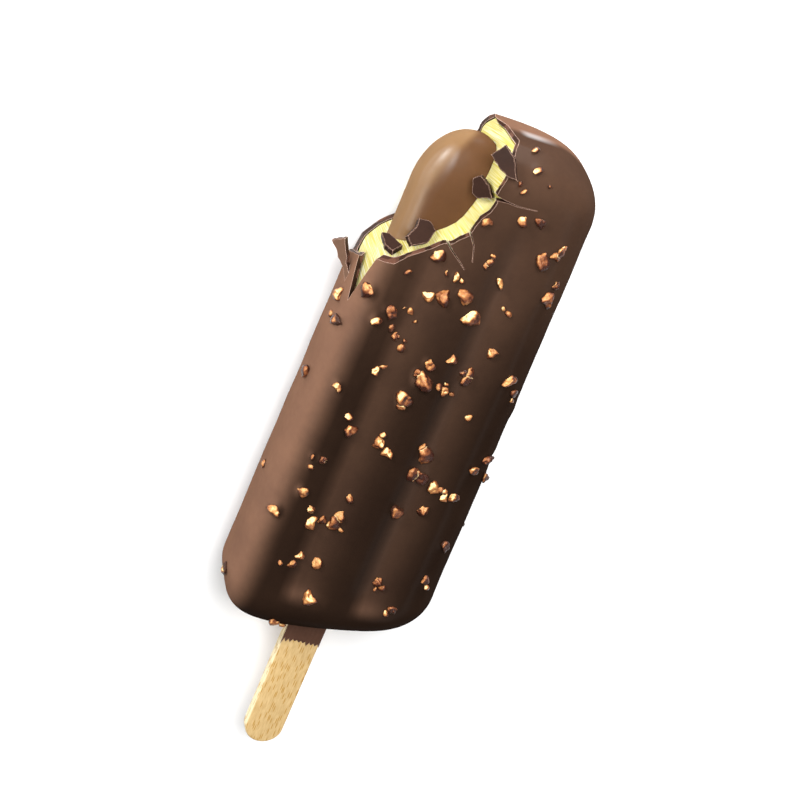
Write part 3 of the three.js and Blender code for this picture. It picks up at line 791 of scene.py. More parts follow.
EDGE_LINE = edge_line_group()
UNEVEN_TONE = uneven_tone_group()
SET_RELIEF = set_relief_group()
SIDE_LIGHT = side_light_group()
SHELL_PAINTED_LIGHT = shell_painted_light_group()
BRICK_TONE = brick_tone_group()
STREAKS = streak_group()


def bump(tree, shader, height, strength, distance):
    node = add(tree, "ShaderNodeBump", in_Height=height, in_Strength=strength, in_Distance=distance)
    put(tree, shader.inputs["Normal"], node.outputs["Normal"])


def relief(tree, shader, strength, distance, **sizes):
    bump(tree, shader, use_group(tree, SET_RELIEF, **sizes)["Height"], strength, distance)


def painted_edge_highlight(tree, base, highlight_colour, **sizes):
    """The base colour, with a painted highlight along sharp edges."""
    return mix(tree, use_group(tree, EDGE_LINE, **sizes)["Mask"], base, highlight_colour)


def vary(tree, shader, label, value, low, high):
    """Lets an input of the shader vary from low to high."""
    put(tree, shader.inputs[label], spread(tree, value, 0.0, 1.0, low, high))


def side_light(tree, toward, low, high):
    return use_group(tree, SIDE_LIGHT, Toward=toward, Low=low, High=high)["Value"]


def uneven_tone(tree, light, dark, scale, fine_scale):
    colours = {"Light": colour(*light), "Dark": colour(*dark)}
    return use_group(tree, UNEVEN_TONE, Scale=scale, Fine_Scale=fine_scale, **colours)


# ---------------------------------------------------------------- finishes

def chocolate_finish():
    """Set milk chocolate, satin all over but for its glint on the end wall by the break, with painted light
    and shade in its colour.
    """
    material, tree, shader = new_material(
        "milk_chocolate", Specular_IOR_Level=0.0, Coat_Roughness=0.28, Coat_IOR=2.6)
    mottle = uneven_tone(tree, (37, 25, 18), (33, 22, 16), 90.0, 700.0)
    # The shell's colour with its painted light and shade.
    tone = use_group(tree, SHELL_PAINTED_LIGHT, Base=mottle["Color"])
    # Painted highlight along sharp edges.
    base = painted_edge_highlight(tree, tone["Color"], colour(186, 150, 132), Radius=0.17 * MM, Low=0.03, High=0.16)
    put(tree, shader.inputs["Base Color"], base)
    vary(tree, shader, "Roughness", mottle["Value"], 0.4, 0.5)
    vary(tree, shader, "Coat Weight", tone["Tip Mask"], 0.01, 1.0)
    relief(tree, shader, 0.35, 0.3 * MM, Swell_Scale=140.0, Grain_Scale=1600.0, Grain_Share=0.12)
    return material


def broken_chocolate_finish():
    """The coating's broken sides, in patches, with painted highlights along their edges."""
    material, tree, shader = new_material("broken_chocolate", Specular_IOR_Level=0.04)
    tone = use_group(tree, BRICK_TONE, Light=colour(98, 66, 53), Dark=colour(50, 32, 25), Scale=620.0)
    base = painted_edge_highlight(tree, tone["Color"], colour(216, 188, 172), Radius=0.16 * MM, Low=0.02, High=0.1)
    put(tree, shader.inputs["Base Color"], base)
    vary(tree, shader, "Roughness", tone["Value"], 0.35, 0.6)
    relief(tree, shader, 0.6, 0.25 * MM, Swell_Scale=900.0, Grain_Scale=4200.0, Grain_Share=0.4)
    return material


def thin_finish(name, light, dark):
    """The smooth faces of thin chocolate: the loose flakes, the bent flap and the film on the stick, with
    painted highlights along their edges.
    """
    material, tree, shader = new_material(name, Specular_IOR_Level=0.05)
    tone = uneven_tone(tree, light, dark, 200.0, 1500.0)
    base = painted_edge_highlight(tree, tone["Color"], colour(176, 142, 124), Radius=0.2 * MM, Low=0.03, High=0.12)
    put(tree, shader.inputs["Base Color"], base)
    vary(tree, shader, "Roughness", tone["Value"], 0.4, 0.5)
    relief(tree, shader, 0.3, 0.25 * MM, Swell_Scale=300.0, Grain_Scale=2600.0, Grain_Share=0.2)
    return material


def crack_finish():
    """The unlit inside of a hairline crack."""
    material, tree, shader = new_material("cracked_chocolate", Roughness=0.7, Specular_IOR_Level=0.0)
    tone = uneven_tone(tree, (52, 34, 26), (42, 27, 21), 400.0, 2400.0)
    put(tree, shader.inputs["Base Color"], tone["Color"])
    return material


def ice_cream_finish():
    """Pale yellow, with fine streaks drawn across the broken face."""
    material, tree, shader = new_material(
        "vanilla_ice_cream", Roughness=0.6, Specular_IOR_Level=0.2, Subsurface_Weight=0.1,
        Subsurface_Radius=(1.0, 0.8, 0.4), Subsurface_Scale=0.5 * MM)
    streaks = use_group(tree, STREAKS)["Value"]
    put(tree, shader.inputs["Base Color"], ramp(tree, streaks, [
        (0.33, colour(178, 163, 68)), (0.45, colour(184, 171, 86)), (0.54, colour(190, 181, 112)),
        (0.62, colour(204, 200, 166)),
    ]))
    bump(tree, shader, streaks, 0.3, 0.12 * MM)
    return material


def praline_finish():
    """Light brown cream, with painted light towards the left as a lit and a shaded copy of its colour, glossy
    where it faces its two glints.
    """
    material, tree, shader = new_material(
        "praline_cream", Specular_IOR_Level=0.0, Coat_Roughness=0.33, Subsurface_Weight=0.08,
        Subsurface_Radius=(1.0, 0.5, 0.25), Subsurface_Scale=0.8 * MM)
    shaded = uneven_tone(tree, (88, 60, 39), (82, 56, 36), 60.0, 500.0)
    lit = uneven_tone(tree, (122, 94, 66), (114, 87, 60), 60.0, 500.0)
    # Painted light: the lit copy of the colour on faces turned to the left, the shaded copy elsewhere.
    lighter = side_light(tree, (-0.8, 0.42, 0.0), 0.33, 0.58)
    put(tree, shader.inputs["Base Color"], mix(tree, lighter, shaded["Color"], lit["Color"]))
    vary(tree, shader, "Roughness", shaded["Value"], 0.3, 0.38)
    vary(tree, shader, "Coat Weight", side_light(tree, (-0.62, 0.25, 0.74), 0.89, 0.96), 0.07, 0.85)
    relief(tree, shader, 0.25, 0.3 * MM, Swell_Scale=120.0, Grain_Scale=1800.0, Grain_Share=0.06)
    return material


def nut_finish():
    """Cream inside, golden where roasted, reddish brown where skin is left, chocolate at the foot, with
    painted light on faces turned up and to the left and a painted highlight along ridges.
    """
    material, tree, shader = new_material(
        "chopped_nut", Roughness=0.28, Specular_IOR_Level=0.2, Subsurface_Weight=0.06,
        Subsurface_Radius=(1.0, 0.6, 0.3), Subsurface_Scale=0.3 * MM)
    patches = noise_value(tree, object_place(tree), 1100.0, 3.0, 0.6)
    shade, facet, height, dip = (
        add(tree, "ShaderNodeAttribute", attribute_name=name).outputs["Fac"]
        for name in ("shade", "facet", "rise", "dip"))
    level = shade
    # Painted light on faces turned up and to the left, added to the random shade, patches and facets.
    for share, part in ((0.7, patches), (0.42, facet), (0.48, side_light(tree, (-0.5, 0.5, 0.7), 0.5, 1.0))):
        level = calculate(tree, "MULTIPLY_ADD", part, share, level)
    roasted = ramp(tree, level, [
        (0.3, colour(54, 27, 19)), (0.48, colour(110, 62, 38)), (0.68, colour(160, 103, 60)),
        (0.86, colour(196, 147, 90)), (1.0, colour(236, 208, 150)),
    ])
    # Painted highlight along the ridges of the chips.
    ridge_highlighted = painted_edge_highlight(tree, roasted, colour(232, 200, 146), Radius=0.22 * MM, Low=0.015, High=0.12)
    ragged_height = calculate(tree, "MULTIPLY_ADD", patches, 0.5, height)
    clear = spread(tree, calculate(tree, "SUBTRACT", ragged_height, dip), 0.0, 0.12)
    put(tree, shader.inputs["Base Color"], mix(tree, clear, colour(58, 34, 24), ridge_highlighted))
    relief(tree, shader, 0.7, 0.25 * MM, Swell_Scale=1300.0, Grain_Scale=5200.0, Grain_Share=0.35)
    return material


def stick_wood_finish():
    """Pale birch with short dark pores drawn out along the stick, and painted light on its left face."""
    material, tree, shader = new_material("birch_wood", Roughness=0.6, IOR=1.4)
    place = object_place(tree)
    x, y, z = parts_of(tree, place)
    flat = add(tree, "ShaderNodeCombineXYZ", calculate(tree, "ADD", x, z), y).outputs[0]
    pore_scale = (1 / (PORE["across"] * MM), 1 / (PORE["along"] * MM), 1.0)
    stretched = add(tree, "ShaderNodeMapping", flat, in_Scale=pore_scale).outputs["Vector"]
    pores = add(
        tree, "ShaderNodeTexVoronoi", voronoi_dimensions="2D", in_Vector=stretched, in_Scale=1.0,
        in_Randomness=0.85)
    draw = add(tree, "ShaderNodeSeparateColor", pores.outputs["Color"]).outputs[0]
    chosen = calculate(tree, "GREATER_THAN", draw, 0.5)
    mark = times(tree, spread(tree, pores.outputs["Distance"], 0.2, 0.33, 1.0, 0.0), chosen)
    long = add(tree, "ShaderNodeMapping", place, in_Scale=(1.0, 0.16, 1.0)).outputs["Vector"]
    fibres = noise_value(tree, long, 2600.0, 4.0, 0.7)
    body = ramp(tree, fibres, [(0.35, colour(186, 153, 99)), (0.65, colour(205, 175, 124))])
    # Painted light: the left face is lighter.
    wood_with_painted_light = mix(tree, side_light(tree, (-1.0, 0.0, 0.0), 0.3, 0.9), body, colour(226, 209, 168))
    put(tree, shader.inputs["Base Color"], mix(tree, mark, wood_with_painted_light, colour(172, 130, 56)))
    bump(tree, shader, fibres, 0.3, 0.08 * MM)
    return material


CHOCOLATE = chocolate_finish()
BROKEN = broken_chocolate_finish()
CRACK = crack_finish()
FLAKE = thin_finish("thin_chocolate", (46, 29, 22), (40, 25, 19))
# The flap's chocolate is a lighter, lit copy of the coating's colour: painted light, as on the coating's left
# side.
PAINTED_LIT_FLAP = thin_finish("bent_chocolate", (105, 80, 65), (97, 73, 59))
FILM = thin_finish("chocolate_film", (84, 58, 46), (76, 52, 41))
ICE_CREAM = ice_cream_finish()
PRALINE = praline_finish()
NUT = nut_finish()
WOOD = stick_wood_finish()


# ---------------------------------------------------------------- cutters

def level_rows(recess):
    """The break's rows at every named height, with the faces set back by the recess."""
    set_back = recess * math.sqrt(0.5) * np.array([1, -1])
    core_height = BREAK_HEIGHTS["core"]
    fall_height = core_height - BREAK_HEIGHTS["back"]
    rows = []
    for front, core, back in np.array(BREAK_ROWS):
        back = back + set_back
        row = {"front": front + set_back, "core": core, "back": back}
        for name in ("low", "spur"):
            row[name] = core + (back - core) * (core_height - BREAK_HEIGHTS[name]) / fall_height
        rows.append(row)
    rows[-1].update({name: np.array(place) for name, place in BREAK_TIP.items()})
    return rows


def bite_cutter(recess, roughness):
    """Everything the bite takes away, its wall finely divided and roughened."""
    noise.seed_set(BITE["seed"])
    rows = level_rows(recess)
    keys = ["below", "back", "spur", "low", "core", "front", "above"]
    sources = ["back", "back", "spur", "low", "core", "front", "front"]
    known = np.array([BREAK_HEIGHTS[key] for key in keys])
    plans = np.array([[row[source] for row in rows] for source in sources])
    heights = np.concatenate([[known[0]], np.arange(*BITE["heights"], BITE["step"]), [known[-1]]])
    numbers = np.arange(len(rows))
    steps = np.linspace(0, len(rows) - 1, (len(rows) - 1) * BITE["between"] + 1)
    left, far = BREAK_OUTSIDE["left"], BREAK_OUTSIDE["far"]
    rings = []
    for z in heights:
        plan = np.array([[np.interp(z, known, plans[:, i, axis]) for axis in (0, 1)] for i in numbers])
        ring = [(left, plan[0][1] - 2, z)]
        for x, y in zip(np.interp(steps, numbers, plan[:, 0]), np.interp(steps, numbers, plan[:, 1])):
            push = noise.noise_vector(Vector((x, y, z)) * BITE["grain"]) * roughness
            ring.append((x + push.x, y + push.y, z))
        rings.append(ring + [(plan[-1][0], far, z), (left, far, z)])
    return closed_loft("bite", np.array(rings))


def crack_cutter(points):
    sides = []
    for i, (x, y, width) in enumerate(points):
        x0, y0, _ = points[max(i - 1, 0)]
        x1, y1, _ = points[min(i + 1, len(points) - 1)]
        run = math.hypot(x1 - x0, y1 - y0)
        across = np.array([-(y1 - y0), x1 - x0]) / run * width / 2
        sides.append((np.array([x, y]) - across, np.array([x, y]) + across))
    plan = [side[0] for side in sides] + [side[1] for side in reversed(sides)]
    return closed_loft("crack", np.array([[(x, y, z) for x, y in plan] for z in CRACK_REACH]))


def split_cutter():
    direction = np.array(SPLIT["direction"])
    direction = direction / np.linalg.norm(direction)
    reaches = (SPLIT["reach"], -SPLIT["reach"])
    rings = [[np.array(corner) + direction * reach for corner in SPLIT["corners"]] for reach in reaches]
    return closed_loft("split", np.array(rings))


def stick_slot(room):
    """The space the stick takes inside the food."""
    half_width = STICK["width"] / 2 + room
    half_thickness = STICK["thickness"] / 2 + room
    corners = [(half_width, half_thickness), (-half_width, half_thickness),
               (-half_width, -half_thickness), (half_width, -half_thickness)]
    ends = (STICK["tip"] - room, STICK["inner"] + room)
    return closed_loft("slot", np.array([[(x, y, MID_Z + z) for x, z in corners] for y in ends]))


# ---------------------------------------------------------------- flat flakes of coating

def plate_axes(slope):
    along = Vector((1, 0, slope[0])).normalized()
    normal = Vector((-slope[0], -slope[1], 1)).normalized()
    return along, normal.cross(along), normal


def ragged(outline, draw):
    """The outline with points added along its sides, each pushed a little in or out."""
    points = []
    for i, start in enumerate(outline):
        end = outline[(i + 1) % len(outline)]
        run = math.dist(start, end)
        steps = max(1, round(run / RAGGED["spacing"]))
        points.append(start)
        for k in range(1, steps):
            share = k / steps
            push = RAGGED["depth"] * (2 * next(draw) - 1)
            points.append((
                start[0] + (end[0] - start[0]) * share - (end[1] - start[1]) / run * push,
                start[1] + (end[1] - start[1]) * share + (end[0] - start[0]) / run * push,
            ))
    return points


def plate(name, form, thickness, bevel, draw):
    """A flat flake with ragged, slightly rounded broken sides."""
    along, across, normal = plate_axes(form["slope"])
    points = ragged(form["outline"], draw)
    middle = Vector((sum(p[0] for p in points) / len(points), sum(p[1] for p in points) / len(points)))
    rings = []
    for depth, shrink in ((0.0, bevel), (bevel, 0.0), (thickness - bevel, 0.0), (thickness, bevel)):
        ring = []
        for point in points:
            flat = Vector(point)
            flat = flat + (middle - flat).normalized() * shrink
            ring.append(tuple(Vector(form["centre"]) + along * flat.x + across * flat.y - normal * depth))
        rings.append(ring)
    piece = closed_loft(name, np.array(rings))
    for face in piece.data.polygons:
        face.use_smooth = False
        face.material_index = 0 if len(face.vertices) > 4 else 1
    return piece


# ---------------------------------------------------------------- pieces

def dress(piece, *materials):
    for material in materials:
        piece.data.materials.append(material)


def finish_piece(piece, slot, nodes, *materials):
    if materials:
        piece.data.materials.clear()
        dress(piece, *materials)
    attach(piece, "root")
    if nodes:
        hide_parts(*nodes)


def mounds(points, places):
    """How far the chocolate stands up round each nut."""
    rise = np.zeros(len(points))
    for girth, along, size in places:
        centre = bar_points(along, section_angle(girth))
        distance = np.linalg.norm(points - centre, axis=1)
        height = MOUND["height"] * size * np.exp(-(distance / (MOUND["reach"] * size)) ** 4)
        rise = np.maximum(rise, height)
    return rise


def dented(points, normals):
    """The coating's surface with its slow swells and its few shallow dents."""
    flat = points.reshape(-1, 3)
    swell = np.array([noise.noise(Vector(point) * SWELL["scale"]) for point in flat]) * SWELL["height"]
    moved = flat + normals.reshape(-1, 3) * np.minimum(swell, SWELL["highest"])[:, None]
    for dent in DENTS:
        away = (flat - np.array(dent["place"])) / np.array(dent["reach"])
        moved += np.exp(-np.sum(away ** 2, axis=1))[:, None] * np.array(dent["push"])
    return moved.reshape(points.shape)


def surface_rings(inset, fineness):
    """The stations along the bar, and a ring of surface points at each."""
    stations = bar_stations(inset, *fineness["steps"])
    angles = section_angle(-GIRTH * np.arange(fineness["around"]) / fineness["around"])
    return stations, bar_points(stations[:, None], angles[None, :], inset)


def outer_surface(name, places):
    stations, rings = surface_rings(0.0, OUTER_MESH)
    along = np.gradient(rings, axis=0)
    across = np.roll(rings, -1, axis=1) - np.roll(rings, 1, axis=1)
    normals = np.cross(along, across)
    normals /= np.maximum(np.linalg.norm(normals, axis=2, keepdims=True), 1e-9)
    outward = rings - np.array([0, 0, MID_Z])
    outward[:, :, 1] = 0
    normals *= np.sign(np.sum(normals * outward, axis=2, keepdims=True))
    rise = mounds(rings.reshape(-1, 3), places).reshape(rings.shape[:2])
    inside = smooth_step(0, RELIEF_FADE, HALF_LENGTH - np.abs(stations))[:, None]
    lifted = dented(rings, normals * inside[:, :, None]) + normals * (rise * inside)[:, :, None]
    lifted[:, :, 2] = np.maximum(lifted[:, :, 2], 0)
    return closed_loft(name, lifted)


def inner_surface(name, inset):
    stations, rings = surface_rings(inset, INNER_MESH)
    thinner = smooth_step(HALF_LENGTH - TIP_CORNER, HALF_LENGTH - 4 * COATING, stations)
    rings[:, :, 1] += TIP_THINNING * thinner[:, None]
    return closed_loft(name, rings)


def rounded_edge(share):
    """The height of a quarter-round edge at a share of the way in from its foot."""
    return math.sqrt(max(0.0, 1 - (1 - share) ** 2))


def collar_form():
    """The film of coating that has run on to the front of the stick and frozen in teeth."""
    draw = seeded_random(NUT_SEED)
    columns, rows = COLLAR["columns"], COLLAR["rows"]
    half_width, root = COLLAR["half_width"], COLLAR["root"]
    base = MID_Z + STICK["thickness"] / 2
    kinks = []
    for i in range(2 * COLLAR["teeth"] + 1):
        hang = COLLAR["tooth_depth"] * (COLLAR["least_hang"] + next(draw)) if i % 2 == 0 else 0.0
        kinks.append(COLLAR["end"] - hang - (COLLAR["left_tooth"] if i == 0 else 0.0))
    step = 2 * half_width / (2 * COLLAR["teeth"])
    xs = np.linspace(-half_width, half_width, columns)
    ends = np.interp(xs, -half_width + np.arange(len(kinks)) * step, kinks)
    vertices = []
    for x, end in zip(xs, ends):
        side = rounded_edge(min(1.0, (half_width - abs(x)) / COLLAR["side_round"]))
        for j in range(rows):
            share = j / (rows - 1)
            y = root + (end - root) * share
            edge = side * rounded_edge(min(1.0, (y - end) / COLLAR["end_round"]))
            film = COLLAR["film"] + COLLAR["swell"] * (1 - share) ** COLLAR["fade"]
            vertices.append((x, y, base + (COLLAR["edge"] + film * edge)))
    top = len(vertices)
    vertices += [(x, y, base + COLLAR["lift"]) for x, y, _ in vertices]
    faces = []
    for i in range(columns - 1):
        for j in range(rows - 1):
            a = i * rows + j
            faces.append((a, a + 1, a + rows + 1, a + rows))
            faces.append((top + a, top + a + rows, top + a + rows + 1, top + a + 1))
    last = (columns - 1) * rows
    for a in range(rows - 1):
        b = last + a
        faces += [(a, top + a, top + a + 1, a + 1), (b, b + 1, top + b + 1, top + b)]
    for a in range(0, last, rows):
        b = a + rows - 1
        faces += [(a, a + rows, top + a + rows, top + a), (b, top + b, top + b + rows, b + rows)]
    return mesh_object("collar", vertices, faces)


def chocolate_shell(places, draw):
    shell = outer_surface("chocolate_shell", places)
    dress(shell, CHOCOLATE, BROKEN, CRACK)
    bite = bite_cutter(0.0, ROUGHNESS["coating"])
    cutters = [(inner_surface("hollow", COATING), 1), (bite, 1), (split_cutter(), 1)]
    cutters += [(crack_cutter(crack), 2) for crack in CRACKS]
    for cutter, finish in cutters:
        dress(cutter, CHOCOLATE, BROKEN, CRACK)
        for face in cutter.data.polygons:
            face.material_index = finish
        carve(shell, cutter)
    flap = plate("flap", FLAP, FLAP["thickness"], FLAP["bevel"], draw)
    for extra, finish in ((flap, PAINTED_LIT_FLAP), (collar_form(), FILM)):
        dress(shell, finish)
        dress(extra, finish, BROKEN)
        carve(shell, extra, "UNION")
    carve(shell, stick_slot(STICK_ROOM["coating"]))
    keep_largest(shell)
    crisp(shell, CRISP["coating"])
    finish_piece(shell, "chocolate", ["coating"])


def core_form(name, margin):
    """The core, or the same form grown by a margin: an even middle between two rounded caps."""
    power = 2 / CORE["squareness"]
    tip_cap = CORE["cap"] + margin
    foot_cap = CORE["foot_cap"] + margin
    tip = CORE["tip"] + margin
    foot = CORE["foot"] - margin
    foot_turn = np.linspace(CORE_MESH["foot_turn"], 0, CORE_MESH["foot"])
    tip_turn = np.linspace(0, CORE_MESH["tip_turn"], CORE_MESH["tip"])
    middle = np.linspace(foot + foot_cap, tip - tip_cap, CORE_MESH["middle"])[1:-1]
    foot_y = foot + foot_cap * (1 + np.sin(foot_turn))
    y = np.concatenate([foot_y, middle, tip - tip_cap * (1 - np.sin(tip_turn))])
    share = np.concatenate([np.cos(foot_turn), np.ones(len(middle)), np.cos(tip_turn)])[:, None]
    angle = 2 * np.pi * np.arange(CORE_MESH["around"]) / CORE_MESH["around"]
    x = (CORE["half_width"] + margin) * share * signed_power(np.cos(angle), power)[None, :]
    z = (CORE["half_thickness"] + margin) * share * signed_power(np.sin(angle), power)[None, :]
    rings = np.stack([CORE["offset"] + x, np.broadcast_to(y[:, None], x.shape), MID_Z + z], axis=-1)
    return closed_loft(name, rings)


def filling():
    piece = inner_surface("ice_cream_filling", COATING + FILLING_GAP)
    carve(piece, core_form("well", CORE_GAP))
    carve(piece, stick_slot(STICK_ROOM["inside"]))
    carve(piece, bite_cutter(FILLING_RECESS, ROUGHNESS["filling"]))
    keep_largest(piece)
    crisp(piece, CRISP["filling"])
    finish_piece(piece, "ice_cream", ["ice_cream"], ICE_CREAM)


def praline_core():
    core = carve(core_form("praline_core", 0.0), stick_slot(STICK_ROOM["inside"]))
    finish_piece(core, "praline", ["core"], PRALINE)


def wooden_stick():
    half = STICK["width"] / 2
    bevel = STICK["bevel"]
    turns = np.linspace(0, np.pi, 33)
    quarter = np.linspace(0, np.pi / 2, 5)
    rings = []
    for side, steps in ((1, quarter), (-1, quarter[::-1])):
        face = MID_Z + side * STICK["thickness"] / 2
        for turn in steps:
            radius = half - bevel * (1 - math.sin(turn))
            z = face - side * bevel * (1 - math.cos(turn))
            inner = [(radius * math.cos(a), STICK["inner"] - half + radius * math.sin(a), z) for a in turns]
            outer = [(-radius * math.cos(a), STICK["tip"] + half - radius * math.sin(a), z) for a in turns]
            rings.append(inner + outer)
    finish_piece(closed_loft("wooden_stick", np.array(rings)), "stick_wood", ["stick"], WOOD)


def shards(draw):
    for name, shard in SHARDS.items():
        piece = plate(name.replace("shard", "flake"), shard, SHARD_THICKNESS, SHARD_BEVEL, draw)
        finish_piece(piece, "chocolate", [name], FLAKE, BROKEN)


# ---------------------------------------------------------------- chopped nuts

def chip_form(name, fineness, draw):
    """A nut chip one unit long: a ball chopped by a few planes, bent and a little worn."""
    edit = bmesh.new()
    bmesh.ops.create_icosphere(edit, subdivisions=fineness, radius=1.0)
    cuts = []
    for _ in range(CHIP["planes"]):
        height = 2 * next(draw) - 1
        turn = 2 * math.pi * next(draw)
        flat = math.sqrt(1 - height * height)
        normal = Vector((flat * math.cos(turn), flat * math.sin(turn), height))
        cuts.append((normal, drawn(draw, CHIP["plane"]), next(draw)))
    sharpness = CHIP["sharpness"]
    bend = CHIP["bend"] * (next(draw) - CHIP["unbent"])
    shift = Vector([CHIP["shift"] * next(draw) for _ in range(3)])
    tones = []
    for vertex in edit.verts:
        facing = vertex.co.normalized()
        weights = [(max(facing.dot(normal), 0) / offset) ** sharpness for normal, offset, _ in cuts]
        total = sum(weights) + (1 / CHIP["ball"]) ** sharpness
        tones.append(sum(w * cut[2] for w, cut in zip(weights, cuts)) / total)
        place = facing * total ** (-1 / sharpness)
        place += facing * CHIP["uneven"] * noise.noise(place * CHIP["grain"] + shift)
        place.y += bend * place.x * place.x
        vertex.co = place
    shape = (1.0, drawn(draw, CHIP["width"]), drawn(draw, CHIP["height"]))
    spans = []
    for i in range(3):
        values = [vertex.co[i] for vertex in edit.verts]
        spans.append((min(values), max(values), shape[i]))
    for vertex in edit.verts:
        vertex.co = [
            (value - (low + high) / 2) / (high - low) * size
            for value, (low, high, size) in zip(vertex.co, spans)
        ]
    mesh = bpy.data.meshes.new(name)
    edit.to_mesh(mesh)
    edit.free()
    mesh.shade_smooth()
    heights = [vertex.co.z / shape[2] + 0.5 for vertex in mesh.vertices]
    for label, values in (("rise", heights), ("facet", tones)):
        mesh.attributes.new(label, "FLOAT", "POINT").data.foreach_set("value", values)
    return bpy.data.objects.new(name, mesh)


def chip_scatter_tree():
    """Puts a nut chip on every point, by the point's own size, facing and turn."""
    tree, given, out = new_group(
        "chip_scatter",
        {
            "Geometry": "Geometry", "Chips": "Collection", "Wear": 0.1, "Wear Scale": 900.0, "Seed": "Int",
            "Finish": "Material",
        },
        {"Geometry": "Geometry"},
        kind="GeometryNodeTree",
    )

    def named(attribute, kind="FLOAT"):
        node = add(tree, "GeometryNodeInputNamedAttribute", data_type=kind, in_Name=attribute)
        return node.outputs["Attribute"]

    source = add(
        tree, "GeometryNodeCollectionInfo", in_Collection=given["Chips"],
        in_Separate_Children=True, in_Reset_Children=True)
    facing = named("facing", "FLOAT_VECTOR")
    upright = add(tree, "FunctionNodeAlignRotationToVector", axis="Z", in_Vector=facing)
    spin = add(tree, "FunctionNodeAxisAngleToRotation", in_Axis=(0, 0, 1), in_Angle=named("turn"))
    turned = add(
        tree, "FunctionNodeRotateRotation", rotation_space="LOCAL",
        in_Rotation=upright.outputs["Rotation"], in_Rotate_By=spin.outputs["Rotation"])
    placed = add(
        tree, "GeometryNodeInstanceOnPoints", in_Points=given["Geometry"], in_Instance=source.outputs[0],
        in_Pick_Instance=True, in_Instance_Index=named("kind", "INT"),
        in_Rotation=turned.outputs["Rotation"], in_Scale=named("size"))
    shade = add(tree, "FunctionNodeRandomValue", data_type="FLOAT", in_Seed=given["Seed"])
    for i, value in enumerate(NUT_SHADE, 2):
        shade.inputs[i].default_value = value
    shaded = add(
        tree, "GeometryNodeStoreNamedAttribute", data_type="FLOAT", domain="INSTANCE", in_Name="shade",
        in_Geometry=placed.outputs["Instances"], in_Value=shade.outputs[1])
    real = add(tree, "GeometryNodeRealizeInstances", in_Geometry=shaded.outputs["Geometry"])
    where = add(tree, "GeometryNodeInputPosition").outputs["Position"]
    lumps = add(tree, "ShaderNodeTexNoise", in_Vector=where, in_Scale=given["Wear Scale"]).outputs["Color"]
    centred = add(tree, "ShaderNodeVectorMath", lumps, (0.5, 0.5, 0.5), operation="SUBTRACT")
    push = scaled(tree, centred.outputs["Vector"], given["Wear"])
    worn = add(tree, "GeometryNodeSetPosition", in_Geometry=real.outputs["Geometry"], in_Offset=push)
    finish = add(tree, "GeometryNodeSetMaterial", worn.outputs["Geometry"], in_Material=given["Finish"])
    put(tree, out["Geometry"], finish.outputs["Geometry"])
    return tree


def in_the_bite(point):
    """Whether a place on the front lies in the broken-away corner."""
    fronts = np.array(BREAK_ROWS)[:, 0]
    beside = np.interp(point[1], fronts[:, 1], fronts[:, 0]) + BITE_MARGIN["beside"]
    return point[0] < beside and point[1] > fronts[0][1] - BITE_MARGIN["below"]


def nut_piece(name, fineness, chosen, draw):
    """All the chips of one fineness, as one piece."""
    chips = bpy.data.collections.new(name + "_kinds")
    for i in range(NUT_KINDS):
        chips.objects.link(chip_form(f"chip_{i:02d}", fineness, draw))
    places, facings, sizes = zip(*chosen)
    nuts = mesh_object(name, np.array(places), [])
    dips = [
        DIP["covered"] if next(draw) < DIP["covered_share"] else drawn(draw, DIP["foot"])
        for _ in chosen
    ]
    for label, kind, field, values in (
        ("size", "FLOAT", "value", [size * MM for size in sizes]),
        ("turn", "FLOAT", "value", [2 * math.pi * next(draw) for _ in chosen]),
        ("kind", "INT", "value", [int(next(draw) * NUT_KINDS) for _ in chosen]),
        ("dip", "FLOAT", "value", dips),
        ("facing", "FLOAT_VECTOR", "vector", np.array(facings).ravel()),
    ):
        nuts.data.attributes.new(label, kind, "POINT").data.foreach_set(field, values)
    scatter = nuts.modifiers.new("chip_scatter", "NODES")
    scatter.node_group = chip_scatter_tree()
    settings = {
        "Chips": chips, "Wear": NUT_WEAR["depth"] * MM, "Wear Scale": NUT_WEAR["scale"], "Seed": NUT_SEED,
        "Finish": NUT,
    }
    for item in scatter.node_group.interface.items_tree:
        if item.in_out == "INPUT" and item.name in settings:
            scatter[item.identifier] = settings[item.name]
    bake(nuts)
    for chip in list(chips.objects):
        bpy.data.objects.remove(chip)
    bpy.data.collections.remove(chips)
    finish_piece(nuts, "nuts", [])


def chopped_nuts(places, draw):
    large = []
    small = []
    for girth, along, size in places:
        size *= NUT_GROWTH
        normal = surface_normal(along, girth)
        centre = bar_points(along, section_angle(girth)) + normal * NUT_SUNK * size
        if centre[2] - 0.5 * size < NUT_CLEAR_OF_FLOOR or in_the_bite(centre):
            continue
        lean = np.array([next(draw) - 0.5 for _ in range(3)]) * NUT_LEAN
        (large if size > NUT_LARGE else small).append((centre, normal + lean, size))
    nut_piece("large_nut_chips", 3, large, draw)
    nut_piece("small_nut_chips", 2, small, draw)


# ---------------------------------------------------------------- stage

def floor():
    corners = [(x * FLOOR_REACH, y * FLOOR_REACH, 0) for x, y in ((-1, -1), (1, -1), (1, 1), (-1, 1))]
    mesh = bpy.data.meshes.new("floor")
    mesh.from_pydata(corners, [], [(0, 1, 2, 3)])
    piece = in_scene("floor", mesh)
    material, tree, shader = new_material("pale_floor", Roughness=0.9, Specular_IOR_Level=0.0)
    tone = uneven_tone(tree, (250, 250, 250), (248, 248, 248), 8.0, 60.0)
    put(tree, shader.inputs["Base Color"], tone["Color"])
    mesh.materials.append(material)


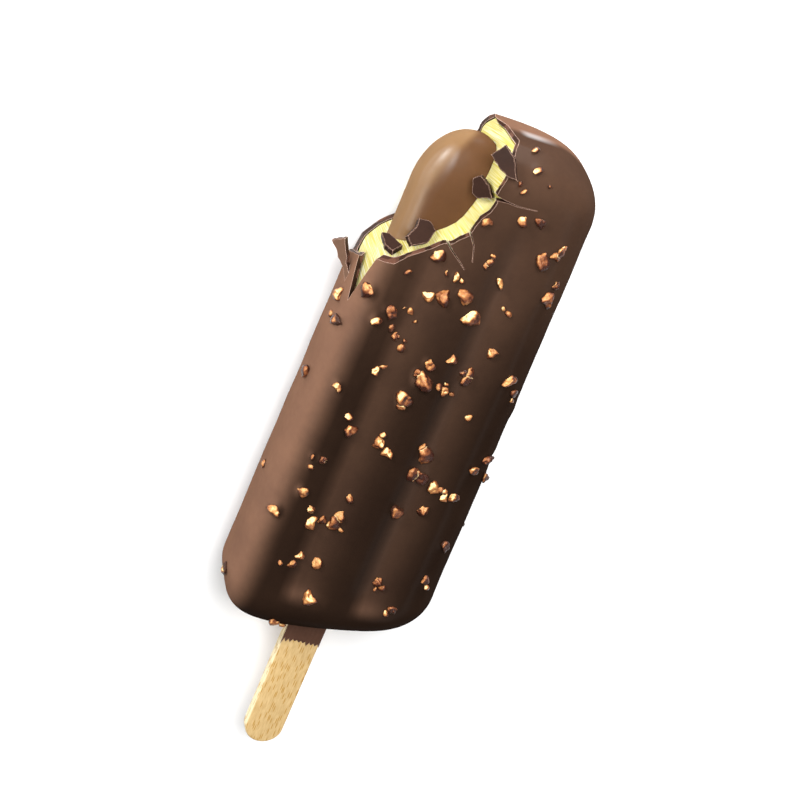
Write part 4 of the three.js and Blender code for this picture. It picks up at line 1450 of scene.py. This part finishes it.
def soft_light(name, direction, distance, width, length, power, aim=(0, 0, MID_Z)):
    """A rectangular softbox, its length lying along the bar, that looks at a place on the bar."""
    light = bpy.data.lights.new(name, "AREA")
    light.shape = "RECTANGLE"
    light.size = width
    light.size_y = length
    light.energy = power
    backward = Vector(direction).normalized()
    along = (Vector((0, 1, 0)) - backward * backward.y).normalized()
    place = Vector(aim) * MM + backward * distance
    stand(in_scene(name, light), along.cross(backward), along, backward, place)


def lights():
    soft_light("overhead", (-0.12, 0.52, 0.84), 0.6, 0.32, 0.32, 4.8)
    soft_light("left_light", (-0.93, 0.12, 0.35), 0.45, 0.15, 0.15, 0.25)
    soft_light("core_glint", (-0.78, 0.45, 0.42), 0.4, 0.13, 0.13, 1.4, (-12.0, 50.0, 15.0))
    soft_light("low_glint", (-0.79, -0.36, 0.49), 0.4, 0.09, 0.09, 0.2, (-14.0, 36.0, 16.0))
    soft_light("right_strip", (0.74, -0.42, 0.52), 0.45, 0.12, 0.5, 0.6)
    soft_light("tip_light", (0.3, 0.945, 0.13), 0.3, 0.17, 0.05, 1.05, (0, HALF_LENGTH, MID_Z))
    world = bpy.data.worlds.new("soft_room")
    world.use_nodes = True
    background = world.node_tree.nodes["Background"].inputs
    background["Color"].default_value = (1, 1, 1, 1)
    background["Strength"].default_value = 0.2
    bpy.context.scene.world = world
    bpy.context.scene.view_settings.view_transform = "Standard"


def camera():
    backward = Vector((-math.sin(SWING) * math.cos(TILT), math.sin(TILT), math.cos(SWING) * math.cos(TILT)))
    across = Vector((math.cos(SWING), 0, math.sin(SWING)))
    lengthwise = backward.cross(across)
    right = across * math.cos(ROLL) + lengthwise * math.sin(ROLL)
    up = lengthwise * math.cos(ROLL) - across * math.sin(ROLL)
    middle = Vector((0, 0, MID_Z))
    place = (middle + backward * CAMERA_DISTANCE + right * CAMERA_SIDE + up * CAMERA_RISE) * MM
    lens = bpy.data.cameras.new("camera")
    lens.lens = LENS
    lens.clip_end = 10.0
    view = in_scene("camera", lens)
    stand(view, right, up, backward, place)
    bpy.context.scene.camera = view


# ---------------------------------------------------------------- the whole bar

camera()
lights()
floor()
place_list = nut_places()
flake_draw = seeded_random(FLAKE_SEED)
chocolate_shell(place_list, flake_draw)
filling()
praline_core()
wooden_stick()
shards(flake_draw)
chopped_nuts(place_list, seeded_random(NUT_SEED + 4))
